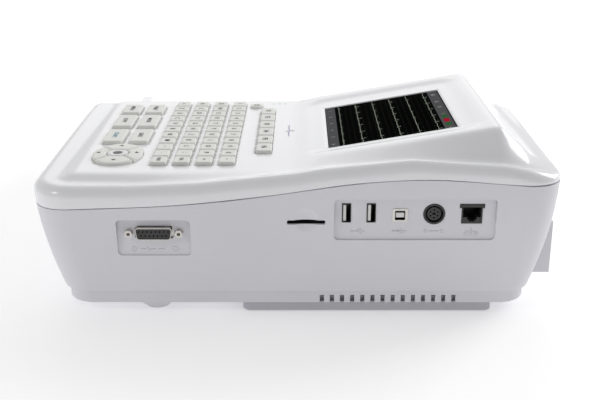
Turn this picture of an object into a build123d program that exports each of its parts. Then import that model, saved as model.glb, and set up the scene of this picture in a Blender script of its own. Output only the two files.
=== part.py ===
"""Desktop ECG recorder with a keyboard, a tilted display and a paper recorder on its left.

Frame: origin on the resting surface below the middle of the case, +X to the operator's right,
+Y to the back, +Z up. Millimetres throughout.
"""

import os
from math import acos, cos, pi, radians, sin, tan

from build123d import *

# ---------------------------------------------------------------- driving dimensions
HALF_X = 210.0  # widest half width, at the waist
HALF_Y = 176.5  # half depth at the case's ends, at the waist
BOW = 2.0  # how far the front and back walls bow out in the middle
WAIST_Z = 88.0
FOOT_X, FOOT_Y = 200.5, 158.5  # half sizes of the case at its foot
CASE_FLOOR_Z = 8.0
LEDGE_Z = 17.0  # crease above the inset band round the foot of the case
WALL = 2.5
PARTING_GAP = 0.4

PANEL_Z = 97.5  # top of the key panel
PANEL_FAR_X = -10.0
PANEL_NEAR_X = 189.0
HOOD_Z = 105.0  # hood surface where the display starts
HOOD_Y = 21.5
HOOD_RISE = 0.173  # rise of the hood per millimetre towards the back
HOOD_RIDGE_Y = 138.0
HOOD_NEAR_X = 172.0
HOOD_FAR_X = 1.0

RECORDER_TOP = 98.0  # height of the recorder's sloping face at X = 0
RECORDER_SLOPE = 0.255  # its fall per millimetre towards the left
LEFT_PARTING_TOP = 91.5
LEFT_PARTING_SLOPE = 0.265

SCREEN_X = (39.0, 150.5)
SCREEN_Y = (22.5, 113.0)

KEY_TOP = 100.0
KEY_TRAVEL = 1.2
KEY_GAP = 0.35  # clearance between a key and its hole
FLANGE_TOP = PANEL_Z - WALL
FLANGE_BOTTOM = FLANGE_TOP - 1.9
MAT_TOP = FLANGE_BOTTOM - KEY_TRAVEL - 0.4
KEY_BOARD_TOP = 89.2
KEY_BOARD_POSTS = [(-4.5, -140.0), (-4.5, -70.0), (181.0, -140.0), (181.0, -70.0), (181.0, -14.0)]

LETTER_PITCH_X = 15.52
LETTER_PITCH_Y = 15.7
LETTER_COLUMNS = 11
LETTER_SIZE = (13.2, 10.8)
LETTER_START_X = 165.0  # centre of the nearest column
LETTER_START_Y = -95.0

SOFT_PITCH = 20.5
SOFT_SIZE = (18.2, 11.2)
SOFT_START = (135.5, -23.3)
SOFT_COUNT = 6

FUNCTION_KEYS = [  # centre x, centre y, size x, size y
    (104.4, -135.6, 32.8, 14.6),
    (62.5, -135.6, 32.8, 14.6),
    (25.3, -135.6, 25.6, 14.6),
    (104.4, -116.6, 32.8, 14.0),
    (62.5, -116.6, 32.8, 14.0),
    (25.3, -116.6, 25.6, 14.0),
]

PAD_CENTRE = (149.0, -126.1)
PAD_RADII = (23.4, 17.6)
PAD_HUB = 8.4
PAD_DIAGONAL = 40.0  # angle of the gaps between the pad's lobes
ENTER_RADIUS = 7.3

POWER_KEY = (12.7, -33.6)
POWER_RADIUS = 5.5
LAMPS = [(2.0, -20.0), (2.0, -15.0), (2.0, -10.0)]
LAMP_RADIUS = 1.2

# Right side: panels sunk in the wall, given as (y low, y high, z low, z high, floor x)
PATIENT_PANEL = (-119.0, -70.1, 45.3, 71.6, 205.2)
PORT_PANEL = (24.9, 131.6, 56.9, 86.4, 206.2)
PANEL_CORNER = 3.0
PATIENT_Y, PATIENT_Z = -94.4, 61.7
JACK_SPACING = 33.3
USB_A_YS = (33.1, 49.4)
USB_A_Z = 75.8
USB_B_Y, USB_B_Z = 68.4, 74.2
DIN_Y, DIN_Z = 90.9, 75.0
LAN_Y, LAN_Z = 115.8, 75.2
LAN_WIDTH, LAN_HEIGHT = 13.4, 13.4
LAN_HEAD_WIDTH, LAN_HEAD = 16.0, 2.6  # wider head of the network socket
LAN_FIT = 0.5  # how much larger the case's opening is
CARD_Y, CARD_Z, CARD_WIDTH, CARD_HEIGHT = 6.5, 70.0, 25.2, 3.1
PORT_FACE = 206.6  # outer ends of the sockets

VENT_COUNT = 14
VENT_START = 17.5
VENT_PITCH = 6.95
VENT_WIDTH = 2.9
VENT_TOP = 13.5

# Rear mains housing
HOUSING_X = (78.0, 181.0)
HOUSING_Z = (22.0, 60.0)
HOUSING_Y = 177.0
MAINS_Z = 41.0
INLET_X = 157.0
ROCKER_X = 123.0
FUSE_X = 102.0
FUSE_ZS = (32.5, 49.5)
EARTH_X = 88.0
ROCKER_TILT = 11.0

# Service cover and feet
COVER_X = (-60.0, 199.0)
COVER_Y = (-37.0, 134.5)
COVER_BOTTOM = 0.8
FEET = [(184.0, -97.5), (-184.0, -97.5), (-184.0, 108.0)]

# Recorder
DOOR_X = (-198.0, -25.0)
DOOR_HALF_Y = 130.5
HINGE_X, HINGE_Z = -21.0, 88.5
HINGE_PIN_R = 1.5
LIP_REACH = 0.25  # tear-off lip below the paper slot, measured from the widest half width
LIP_HALF = 114.0
LIP_Z = 40.5
PLATEN_X, PLATEN_Z = -188.0, 37.0
PLATEN_R = 7.0
PLATEN_HALF = 108.0
SHAFT_R = 3.0
GEAR_MODULE = 0.8
PLATEN_TEETH, IDLER_TEETH, PINION_TEETH = 20, 20, 12
GEAR_Y = (-124.5, -119.5)
BRACKET_Y = (-128.0, -126.5)
TRAY_X = (-178.0, -30.0)
TRAY_HALF_Y = 111.0
LATCH_X, LATCH_Y = -108.0, -145.0
LATCH_TRAVEL = 3.0
RUN = 0.05  # radial running clearance

# Circuit boards
BOARD = 1.6
MAIN_BOARD_TOP = 68.0
MAIN_BOARD_EDGE = 200.0  # its edge next to the sockets
MAIN_BOARD_POSTS = [(64.0, -11.0), (193.0, -11.0), (64.0, 132.0), (196.0, 131.0)]
PATIENT_BOARD_TOP = 55.0
PATIENT_BOARD_POSTS = [(114.0, -134.0), (190.0, -130.0), (114.0, -56.0), (193.0, -56.0)]
SUPPLY_TOP = 18.0
SUPPLY_POSTS = [(96.0, 103.0), (166.0, 103.0), (96.0, 142.0), (166.0, 142.0)]
BAY_X = (74.0, 176.0)  # battery bay in the case floor
BAY_Y = (-25.0, 92.0)

# Case bosses: x, y and the height where lower and upper bosses meet
BOSSES = [
    (184.0, -152.0, 60.0),
    (184.0, 145.0, 60.0),
    (-16.0, -150.0, 60.0),
    (-16.0, 150.0, 60.0),
    (-190.0, -143.0, 32.0),
    (-190.0, 143.0, 32.0),
]
BOSS_R = 4.5
SCREW_R = 1.5

os.makedirs("parts", exist_ok=True)


# ---------------------------------------------------------------- helpers
def side_plane(x):
    """Plane across the X axis, whose own axes are +Y and +Z."""
    return Plane(origin=(x, 0, 0), x_dir=(0, 1, 0), z_dir=(1, 0, 0))


def rear_plane(y):
    """Plane facing the back, whose own axes are -X and +Z."""
    return Plane(origin=(0, y, 0), x_dir=(-1, 0, 0), z_dir=(0, 1, 0))


def front_plane(y):
    """Plane facing the front, whose own axes are +X and +Z."""
    return Plane.XZ.offset(-y)


def block(x0, x1, y0, y1, z0, z1, mode=Mode.ADD):
    """Add or cut a box given by its faces."""
    with Locations(((x0 + x1) / 2, (y0 + y1) / 2, (z0 + z1) / 2)):
        Box(abs(x1 - x0), abs(y1 - y0), abs(z1 - z0), mode=mode)


def post(x, y, z0, z1, radius, mode=Mode.ADD):
    """Add or cut an upright cylinder."""
    with Locations((x, y, (z0 + z1) / 2)):
        Cylinder(radius, z1 - z0, mode=mode)


def rod_y(x, z, y0, y1, radius, mode=Mode.ADD):
    """Add or cut a cylinder along Y."""
    with Locations((x, (y0 + y1) / 2, z)):
        Cylinder(radius, abs(y1 - y0), rotation=(90, 0, 0), mode=mode)


def rod_x(y, z, x0, x1, radius, mode=Mode.ADD):
    """Add or cut a cylinder along X."""
    with Locations(((x0 + x1) / 2, y, z)):
        Cylinder(radius, x1 - x0, rotation=(0, 90, 0), mode=mode)


def finish(piece, name):
    """Label a finished piece and write it out."""
    piece.part.label = name
    export_step(piece.part, f"parts/{name}.step")


def recorder_z(x):
    """Height of the recorder's sloping face."""
    return RECORDER_TOP + RECORDER_SLOPE * x


def hood_z(y):
    """Height of the hood's face."""
    return HOOD_Z + HOOD_RISE * (y - HOOD_Y)


# ---------------------------------------------------------------- outer form
def plan_outline(height, half_x, half_y, bow, corner):
    """Rounded plan of the case with bowed front and back walls."""
    with BuildSketch(Plane.XY.offset(height)) as plan:
        with BuildLine():
            front = ThreePointArc((-half_x, -half_y), (0, -half_y - bow), (half_x, -half_y))
            right = Line(front @ 1, (half_x, half_y))
            back = ThreePointArc(right @ 1, (0, half_y + bow), (-half_x, half_y))
            Line(back @ 1, front @ 0)
        make_face()
        fillet(plan.vertices(), corner)
    return plan.sketch


def case_form(inset, floor):
    """Closed form of the whole case, drawn in by a wall thickness, and by more round its foot."""
    foot = 1.6 * inset
    sections = [
        plan_outline(floor, FOOT_X - foot, FOOT_Y - foot, 0.5, 20 - foot),
        plan_outline(45.0, 206.0 - inset, 170.0 - inset, 1.2, 24 - inset),
        plan_outline(WAIST_Z, HALF_X - inset, HALF_Y - inset, BOW, 27 - inset),
        plan_outline(130.0, 208.5 - inset, 175.0 - inset, BOW, 27 - inset),
    ]
    with BuildPart() as form:
        loft(sections=sections)
    return form.part


# The shoulder round the cover's rim: how far in from the wall, and how far below the crest
SHOULDER = [(-3.0, 12.0), (0.8, 4.5), (3.2, 1.3), (7.0, 0.0)]

# Cross-sections of the top, front to back: y, panel or hood height, its near edge, the valley beside it,
# the rim, and how much lower the far edge lies
TOP_SECTIONS = [
    (-172.0, 91.0, 185.0, (196.0, 90.6), 91.3, 0.0),
    (-165.0, 91.0, 185.0, (196.0, 90.6), 91.3, 0.0),
    (-150.0, PANEL_Z, PANEL_NEAR_X, (199.0, 91.6), 92.0, 0.0),
    (-65.0, PANEL_Z, PANEL_NEAR_X, (199.0, 95.6), 96.0, 0.0),
    (0.0, PANEL_Z + 0.4, 184.0, (193.0, 99.0), 103.0, 0.0),
    (18.0, hood_z(18.0), HOOD_NEAR_X, (190.0, 102.6), 106.0, 0.0),
    (76.0, hood_z(76.0), HOOD_NEAR_X, (194.0, 107.4), 112.2, 0.0),
    (HOOD_RIDGE_Y, hood_z(HOOD_RIDGE_Y), HOOD_NEAR_X, (197.0, 105.0), 108.2, 0.0),
    (163.0, 103.0, HOOD_NEAR_X, (196.0, 101.8), 102.6, 4.5),
    (172.0, 100.6, HOOD_NEAR_X, (196.0, 99.8), 100.6, 5.6),
]


def far_edge(y):
    """X of the raised panel's edge next to the recorder."""
    return PANEL_FAR_X if y < HOOD_Y - 10 else HOOD_FAR_X


def across_section(y, top, near_x, valley, rim, far_fall, drop):
    """One cross-section of the cover's right half: far wall, panel or hood, valley, rim and shoulder."""
    shoulder = [(HALF_X - d, rim - drop - fall) for d, fall in reversed(SHOULDER)]
    with BuildSketch(front_plane(y)) as section:
        with BuildLine():
            Polyline(
                (-16 + drop, -20),
                (-16 + drop, min(top, recorder_z(-16)) - 2 - drop),
                (far_edge(y) + drop / 2, top - far_fall - drop),
                (near_x, top - drop),
                (valley[0], valley[1] - drop),
                *shoulder,
                (HALF_X + 3, -20),
                close=True,
            )
        make_face()
    return section.sketch


def along_section(x, middle, front, drop):
    """One lengthways section of the recorder side, with a shoulder at each end."""
    ends = [(-HALF_Y - BOW + d, front - drop - fall) for d, fall in SHOULDER]
    with BuildSketch(side_plane(x)) as section:
        with BuildLine():
            Polyline(
                (-HALF_Y - BOW - 3, -20),
                *ends,
                (-155, middle - drop),
                (155, middle - drop),
                *[(-y, z) for y, z in reversed(ends)],
                (HALF_Y + BOW + 3, -20),
                close=True,
            )
        make_face()
    return section.sketch


def top_form(drop):
    """Solid whose top is the cover's upper surface, lowered by a wall thickness."""
    front, back = TOP_SECTIONS[0], TOP_SECTIONS[-1]
    rows = []
    for inset, fall in SHOULDER[:-1]:
        valley = (front[3][0], front[3][1] - fall)
        rows.append((-HALF_Y - BOW + inset, front[1] - fall, front[2], valley, front[4] - fall, front[5]))
    rows += TOP_SECTIONS
    for inset, fall in reversed(SHOULDER[:-1]):
        valley = (back[3][0], back[3][1] - fall)
        rows.append((HALF_Y + BOW - inset, back[1] - fall, back[2], valley, back[4] - fall, back[5]))
    with BuildPart() as right_half:
        loft(sections=[across_section(*row, drop) for row in rows], ruled=True)
    left_rows = []
    for inset, fall in SHOULDER[:-1]:
        level = recorder_z(-HALF_X + 7) - fall
        left_rows.append((-HALF_X + inset, level, level - 0.1))
    left_rows.append((-HALF_X + 7, recorder_z(-HALF_X + 7), recorder_z(-HALF_X + 7) - 0.1))
    left_rows.append((-30, recorder_z(-30), recorder_z(-30) - 0.1))
    left_rows.append((-9.5, recorder_z(-9.5), 91.0))
    with BuildPart() as left_half:
        loft(sections=[along_section(*row, drop) for row in left_rows], ruled=True)
    return right_half.part + left_half.part


def parting_form(raise_by):
    """Solid below the line where cover and case meet."""
    with BuildPart() as below:
        with BuildSketch(side_plane(-230)):
            with BuildLine():
                line = Spline(
                    (-190, 77.0 + raise_by),
                    (-150, 78.8 + raise_by),
                    (-82, 81.6 + raise_by),
                    (-19, 88.4 + raise_by),
                    (43, 97.2 + raise_by),
                    (86, 99.5 + raise_by),
                    (144, 95.8 + raise_by),
                    (190, 93.5 + raise_by),
                )
                Polyline(line @ 1, (190, -10), (-190, -10), line @ 0)
            make_face()
        extrude(amount=460)
        with BuildSketch(front_plane(195)):
            with BuildLine():
                Polyline(
                    (-230, -10),
                    (-230, LEFT_PARTING_TOP - 230 * LEFT_PARTING_SLOPE + raise_by),
                    (40, LEFT_PARTING_TOP + 40 * LEFT_PARTING_SLOPE + raise_by),
                    (40, 130),
                    (230, 130),
                    (230, -10),
                    close=True,
                )
            make_face()
        extrude(amount=390, mode=Mode.INTERSECT)
    return below.part


outer_form = case_form(0.0, CASE_FLOOR_Z)
inner_form = case_form(WALL, CASE_FLOOR_Z + WALL)
outer_top = top_form(0.0)
inner_top = top_form(WALL)
below_parting = parting_form(0.0)
above_parting = parting_form(PARTING_GAP)


def gear_outline(centre, teeth, phase, tip_factor=1.0):
    """Corner points of an involute spur gear, a tooth centred on the phase angle."""
    pressure = radians(20)
    pitch_r = GEAR_MODULE * teeth / 2
    base_r = pitch_r * cos(pressure)
    root_r = pitch_r - 1.25 * GEAR_MODULE
    tip_r = pitch_r + tip_factor * GEAR_MODULE
    backlash = 0.06
    radii = [max(base_r, root_r) + (tip_r - max(base_r, root_r)) * step / 4 for step in range(5)]

    def half_angle(radius):
        """Half the angle that a tooth takes up at a radius."""
        flank = acos(min(1.0, base_r / radius))
        return pi / (2 * teeth) - backlash / pitch_r + (tan(pressure) - pressure) - (tan(flank) - flank)

    flank_points = [(root_r, half_angle(radii[0]))] + [(radius, half_angle(radius)) for radius in radii]
    points = []
    for tooth in range(teeth):
        middle = phase + 2 * pi * tooth / teeth
        for radius, half in flank_points:
            points.append((radius, middle - half))
        for radius, half in reversed(flank_points):
            points.append((radius, middle + half))
    return [(centre[0] + radius * cos(angle), centre[1] + radius * sin(angle)) for radius, angle in points]


def mesh_phase(teeth, phase, other_teeth, direction):
    """Phase of the next gear, so that it meshes with this one along a direction."""
    pitch = 2 * pi / teeth
    here = ((direction - phase) / pitch) % 1.0
    other_pitch = 2 * pi / other_teeth
    return direction + pi - other_pitch * (0.5 - here)


def gear(centre, teeth, phase, bore, tip_factor=1.0):
    """Spur gear standing across Y, between the two gear faces."""
    with BuildPart() as wheel:
        with BuildSketch(front_plane(GEAR_Y[1])):
            with BuildLine():
                Polyline(*gear_outline(centre, teeth, phase, tip_factor), close=True)
            make_face()
        extrude(amount=GEAR_Y[1] - GEAR_Y[0])
        rod_y(centre[0], centre[1], GEAR_Y[0] - 1, GEAR_Y[1] + 1, bore, Mode.SUBTRACT)
    return wheel


# ---------------------------------------------------------------- key layout
letter_columns = [LETTER_START_X - LETTER_PITCH_X * i for i in range(LETTER_COLUMNS)]
letter_rows = [LETTER_START_Y + LETTER_PITCH_Y * i for i in range(4)]
soft_keys = [(SOFT_START[0] - SOFT_PITCH * i, SOFT_START[1]) for i in range(SOFT_COUNT)]


def key_plan(x, y, size_x, size_y, grow, corner):
    """Rounded outline of a key or its hole, on the current sketch."""
    with Locations((x, y)):
        RectangleRounded(size_x + 2 * grow, size_y + 2 * grow, corner)


def key_body(x, y, size_x, size_y):
    """Cap, flange and stem of one rectangular key, on the current part."""
    with BuildSketch(Plane.XY.offset(FLANGE_TOP - 0.2)) as cap:
        key_plan(x, y, size_x, size_y, 0.0, 1.6)
    extrude(to_extrude=cap.sketch, amount=KEY_TOP - FLANGE_TOP - 0.6)
    with BuildSketch(Plane.XY.offset(KEY_TOP - 0.8)) as crown:
        key_plan(x, y, size_x, size_y, 0.0, 1.6)
    extrude(to_extrude=crown.sketch, amount=0.8, taper=30)
    block(
        x - size_x / 2 - 0.8, x + size_x / 2 + 0.8,
        y - size_y / 2 - 0.8, y + size_y / 2 + 0.8,
        FLANGE_BOTTOM, FLANGE_TOP - 0.1,
    )


def pad_lobe(direction, grow=0.0):
    """Plan of one of the four lobes of the direction pad."""
    with BuildSketch() as lobe:
        with Locations(PAD_CENTRE):
            Ellipse(PAD_RADII[0] + grow, PAD_RADII[1] + grow)
        with Locations(PAD_CENTRE):
            Circle(PAD_HUB - grow, mode=Mode.SUBTRACT)
        reach = 40.0
        across = tan(radians(PAD_DIAGONAL)) if direction in (0, 180) else tan(radians(90 - PAD_DIAGONAL))
        turn = radians(direction)
        gap = 1.3 - grow
        corners = [(gap, 0), (gap + reach, -reach * across), (gap + reach, reach * across)]
        with BuildLine():
            Polyline(
                *[
                    (
                        PAD_CENTRE[0] + px * cos(turn) - py * sin(turn),
                        PAD_CENTRE[1] + px * sin(turn) + py * cos(turn),
                    )
                    for px, py in corners
                ],
                close=True,
            )
        make_face(mode=Mode.INTERSECT)
    return lobe.sketch


PAD_NAMES = {0: "pad_key_near", 90: "pad_key_back", 180: "pad_key_far", 270: "pad_key_front"}

# ---------------------------------------------------------------- top cover
with BuildPart() as case_region:
    add(above_parting)
    for x, y, split in BOSSES:
        post(x, y, split, 125.0, BOSS_R + 0.2, Mode.SUBTRACT)
    for side in (-1, 1):
        block(-27.2, -15.8, side * 131.3, side * 137.2, 82.0, 125.0, Mode.SUBTRACT)

with BuildPart() as top_cover:
    add(outer_form & outer_top)
    add(inner_form & inner_top, mode=Mode.SUBTRACT)
    for x, y, split in BOSSES:
        post(x, y, split, 125.0, BOSS_R)
    for x, y in KEY_BOARD_POSTS:
        post(x, y, KEY_BOARD_TOP, PANEL_Z, 3.0)
    for side in (-1, 1):
        block(-27, -16, side * 131.5, side * 137.0, 82.0, 110.0)
    add(outer_form & outer_top, mode=Mode.INTERSECT)
    add(case_region.part, mode=Mode.SUBTRACT)
    for x, y, split in BOSSES:
        post(x, y, split - 1, split + 12, SCREW_R + RUN, Mode.SUBTRACT)
    block(-HALF_X - LIP_REACH, -204.0, -LIP_HALF, LIP_HALF, LIP_Z - 1.2, LIP_Z + 1.2)
    block(-203.0, -17.0, -131.2, 131.2, 30.0, 110.0, Mode.SUBTRACT)
    rod_y(HINGE_X, HINGE_Z, -135.0, 135.0, HINGE_PIN_R + RUN, Mode.SUBTRACT)
    with BuildSketch(Plane.XY.offset(85.0)):
        for x in letter_columns:
            for y in letter_rows:
                key_plan(x, y, *LETTER_SIZE, KEY_GAP, 1.9)
        for x, y in soft_keys:
            key_plan(x, y, *SOFT_SIZE, KEY_GAP, 1.9)
        for x, y, size_x, size_y in FUNCTION_KEYS:
            key_plan(x, y, size_x, size_y, KEY_GAP, 1.9)
        with Locations(PAD_CENTRE):
            Ellipse(PAD_RADII[0] + KEY_GAP, PAD_RADII[1] + KEY_GAP)
        with Locations(POWER_KEY):
            Circle(POWER_RADIUS + KEY_GAP)
        with Locations(*LAMPS):
            Circle(LAMP_RADIUS + RUN)
    extrude(amount=30, mode=Mode.SUBTRACT)
    block(LATCH_X - 4.5, LATCH_X + 4.5, LATCH_Y - 6.5, LATCH_Y + 2.5, 40.0, 90.0, Mode.SUBTRACT)
    with BuildSketch(Plane.XY.offset(90.0)):
        with Locations(((SCREEN_X[0] + SCREEN_X[1]) / 2, (SCREEN_Y[0] + SCREEN_Y[1]) / 2)):
            RectangleRounded(SCREEN_X[1] - SCREEN_X[0], SCREEN_Y[1] - SCREEN_Y[0], 1.5)
    extrude(amount=50, mode=Mode.SUBTRACT)
finish(top_cover, "top_cover")


# ---------------------------------------------------------------- lower case
with BuildPart() as lower_case:
    add(outer_form & below_parting)
    add(inner_form, mode=Mode.SUBTRACT)
    with BuildSketch(Plane.XY.offset(CASE_FLOOR_Z - 1)) as band:
        Rectangle(2 * HALF_X + 20, 2 * HALF_Y + 20)
        add(plan_outline(0.0, FOOT_X, FOOT_Y, 0.5, 20), mode=Mode.SUBTRACT)
    extrude(amount=LEDGE_Z - CASE_FLOOR_Z + 1, mode=Mode.SUBTRACT)

    for y0, y1, z0, z1, floor_x in (PATIENT_PANEL, PORT_PANEL):
        block(floor_x - WALL, floor_x, y0 - 2, y1 + 2, z0 - 2, z1)
        with BuildSketch(side_plane(floor_x)):
            with Locations(((y0 + y1) / 2, (z0 + z1) / 2)):
                RectangleRounded(y1 - y0, z1 - z0, PANEL_CORNER)
        extrude(amount=HALF_X + 5 - floor_x, mode=Mode.SUBTRACT)
    block(HOUSING_X[0], HOUSING_X[1], 150.0, HOUSING_Y, HOUSING_Z[0], HOUSING_Z[1])
    block(
        HOUSING_X[0] + WALL, HOUSING_X[1] - WALL, 148.0, HOUSING_Y - WALL,
        HOUSING_Z[0] + WALL, HOUSING_Z[1] - WALL, Mode.SUBTRACT,
    )
    rod_y(EARTH_X, MAINS_Z, 163.0, HOUSING_Y, 8.3)
    rod_y(EARTH_X, MAINS_Z, 165.5, HOUSING_Y + 5, 6.5, Mode.SUBTRACT)
    rod_y(EARTH_X, MAINS_Z, 160.0, 170.0, 3.0, Mode.SUBTRACT)

    for x, y, split in BOSSES:
        post(x, y, CASE_FLOOR_Z, split, BOSS_R)
        post(x, y, CASE_FLOOR_Z - 1, split - 12, 3.6, Mode.SUBTRACT)
        post(x, y, split - 13, split + 1, SCREW_R + 0.2, Mode.SUBTRACT)
    for x, y in MAIN_BOARD_POSTS:
        post(x, y, CASE_FLOOR_Z + 1, MAIN_BOARD_TOP - BOARD, 3.2)
    for x, y in PATIENT_BOARD_POSTS:
        post(x, y, CASE_FLOOR_Z + 1, PATIENT_BOARD_TOP - BOARD, 3.2)
    for x, y in SUPPLY_POSTS:
        post(x, y, CASE_FLOOR_Z + 1, SUPPLY_TOP - BOARD, 3.0)

    with BuildSketch(side_plane(190.0)):
        with Locations((PATIENT_Y, PATIENT_Z)):
            RectangleRounded(25.8, 9.2, 2.0)
        with Locations((PATIENT_Y - JACK_SPACING / 2, PATIENT_Z), (PATIENT_Y + JACK_SPACING / 2, PATIENT_Z)):
            Circle(SCREW_R + RUN)
        with Locations(*[(y, USB_A_Z) for y in USB_A_YS]):
            Rectangle(6.1, 13.5)
        with Locations((USB_B_Y, USB_B_Z)):
            Rectangle(8.9, 8.9)
        with Locations((DIN_Y, DIN_Z)):
            Circle(7.3)
        with Locations((LAN_Y, LAN_Z)):
            Rectangle(LAN_WIDTH + LAN_FIT, LAN_HEIGHT + LAN_FIT)
        with Locations((LAN_Y, LAN_Z + (LAN_HEIGHT - LAN_HEAD) / 2)):
            Rectangle(LAN_HEAD_WIDTH + LAN_FIT, LAN_HEAD + LAN_FIT)
        with Locations((CARD_Y, CARD_Z)):
            RectangleRounded(CARD_WIDTH, CARD_HEIGHT, 0.8)
    extrude(amount=25, mode=Mode.SUBTRACT)
    with Locations((228.6, CARD_Y, CARD_Z)):
        Sphere(21.5, mode=Mode.SUBTRACT)
    for slot in range(VENT_COUNT):
        y = VENT_START + slot * VENT_PITCH
        block(195.0, 206.0, y - VENT_WIDTH / 2, y + VENT_WIDTH / 2, CASE_FLOOR_Z - 1, VENT_TOP, Mode.SUBTRACT)
    block(BAY_X[0], BAY_X[1], BAY_Y[0], BAY_Y[1], CASE_FLOOR_Z - 1, CASE_FLOOR_Z + 5, Mode.SUBTRACT)

    with BuildSketch(rear_plane(170.0)):
        with Locations((-INLET_X, MAINS_Z)):
            Rectangle(27.6, 20.4)
        with Locations((-ROCKER_X, MAINS_Z)):
            Rectangle(13.8, 20.4)
        with Locations(*[(-FUSE_X, z) for z in FUSE_ZS]):
            Circle(6.3)
    extrude(amount=15, mode=Mode.SUBTRACT)
finish(lower_case, "lower_case")

# ---------------------------------------------------------------- service cover and feet
with BuildPart() as service_cover:
    with BuildSketch(Plane.XY.offset(COVER_BOTTOM)):
        with Locations(((COVER_X[0] + COVER_X[1]) / 2, (COVER_Y[0] + COVER_Y[1]) / 2)):
            RectangleRounded(COVER_X[1] - COVER_X[0], COVER_Y[1] - COVER_Y[0], 5.0)
    extrude(amount=CASE_FLOOR_Z - COVER_BOTTOM)
    chamfer(service_cover.faces().sort_by(Axis.Z)[0].edges(), 0.8)
    for x in (COVER_X[0] + 9, COVER_X[1] - 9):
        for y in (COVER_Y[0] + 9, COVER_Y[1] - 9):
            post(x, y, 0.0, 10.0, SCREW_R + 0.2, Mode.SUBTRACT)
            post(x, y, 0.0, 4.0, 3.4, Mode.SUBTRACT)
finish(service_cover, "service_cover")

with BuildPart() as feet:
    for x, y in FEET:
        post(x, y, 3.0, CASE_FLOOR_Z, 12.0)
        post(x, y, 0.0, 3.0, 8.5)
    for x in (COVER_X[0] + 30, COVER_X[1] - 30):
        block(x - 10, x + 10, COVER_Y[1] - 34, COVER_Y[1] - 14, 0.0, COVER_BOTTOM)
finish(feet, "feet")

with BuildPart() as case_screws:
    for x, y, split in BOSSES:
        post(x, y, split - 14.2, split - 12, 2.8)
        post(x, y, split - 12.5, split + 11, SCREW_R)
    for x in (COVER_X[0] + 9, COVER_X[1] - 9):
        for y in (COVER_Y[0] + 9, COVER_Y[1] - 9):
            post(x, y, 1.8, 4.0, 2.8)
            post(x, y, 3.5, CASE_FLOOR_Z, SCREW_R)
finish(case_screws, "case_screws")

# ---------------------------------------------------------------- display
screen_middle = ((SCREEN_X[0] + SCREEN_X[1]) / 2, (SCREEN_Y[0] + SCREEN_Y[1]) / 2)
hood_tilt = Vector(0, -HOOD_RISE, 1).normalized()


def hood_plane(depth):
    """Plane parallel to the hood's face, centred on the screen, a depth below the face."""
    origin = (screen_middle[0], screen_middle[1], hood_z(screen_middle[1]))
    return Plane(origin=origin, x_dir=(1, 0, 0), z_dir=hood_tilt).offset(-depth)


with BuildPart() as lcd_window:
    with BuildSketch(hood_plane(4.0)):
        RectangleRounded(118.0, 98.5, 2.0)
    extrude(amount=1.5)
finish(lcd_window, "lcd_window")

with BuildPart() as lcd_module:
    with BuildSketch(hood_plane(13.0)):
        Rectangle(126.0, 104.0)
    extrude(amount=8.9)
    with BuildSketch(hood_plane(15.0)):
        with Locations((0, -20)):
            Rectangle(90.0, 30.0)
    extrude(amount=2.5)
finish(lcd_module, "lcd_module")

# ---------------------------------------------------------------- keys
for row, y in enumerate(letter_rows, start=1):
    with BuildPart() as letter_keys:
        for x in letter_columns:
            key_body(x, y, *LETTER_SIZE)
    finish(letter_keys, f"letter_keys_row_{row}")

for number, (x, y) in enumerate(soft_keys, start=1):
    with BuildPart() as soft_key:
        key_body(x, y, *SOFT_SIZE)
    finish(soft_key, f"soft_key_{number}")

for number, (x, y, size_x, size_y) in enumerate(FUNCTION_KEYS, start=1):
    with BuildPart() as function_key:
        key_body(x, y, size_x, size_y)
    finish(function_key, f"function_key_{number}")

for direction, name in PAD_NAMES.items():
    with BuildPart() as pad_key:
        extrude(to_extrude=pad_lobe(direction), amount=KEY_TOP - FLANGE_BOTTOM)
    pad_key.part.position = (0, 0, FLANGE_BOTTOM)
    finish(pad_key, name)

with BuildPart() as enter_key:
    post(*PAD_CENTRE, FLANGE_BOTTOM, KEY_TOP, ENTER_RADIUS)
finish(enter_key, "enter_key")

with BuildPart() as power_key:
    post(*POWER_KEY, FLANGE_BOTTOM, FLANGE_TOP - 0.1, POWER_RADIUS + 0.8)
    post(*POWER_KEY, FLANGE_BOTTOM, KEY_TOP - 0.4, POWER_RADIUS)
finish(power_key, "power_key")

with BuildPart() as status_lamps:
    for x, y in LAMPS:
        post(x, y, KEY_BOARD_TOP, PANEL_Z + 0.2, LAMP_RADIUS)
finish(status_lamps, "status_lamps")

key_centres = [(x, y) for x in letter_columns for y in letter_rows] + soft_keys
key_centres += [(x, y) for x, y, size_x, size_y in FUNCTION_KEYS] + [PAD_CENTRE, POWER_KEY]
key_centres += [(PAD_CENTRE[0] + dx, PAD_CENTRE[1] + dy) for dx, dy in ((15, 0), (-15, 0), (0, 12), (0, -12))]

with BuildPart() as key_mat:
    block(5.0, 177.0, -146.0, -41.0, KEY_BOARD_TOP, KEY_BOARD_TOP + 1)
    block(5.0, 177.0, -42.0, -14.0, KEY_BOARD_TOP, KEY_BOARD_TOP + 1)
    block(2.0, 6.0, -146.0, -40.0, KEY_BOARD_TOP, KEY_BOARD_TOP + 1)
    for x, y in key_centres:
        post(x, y, KEY_BOARD_TOP, MAT_TOP, 3.0)
finish(key_mat, "key_mat")

with BuildPart() as key_board:
    block(-7.5, 184.0, -146.0, -5.0, KEY_BOARD_TOP - BOARD, KEY_BOARD_TOP)
finish(key_board, "key_board")

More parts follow.
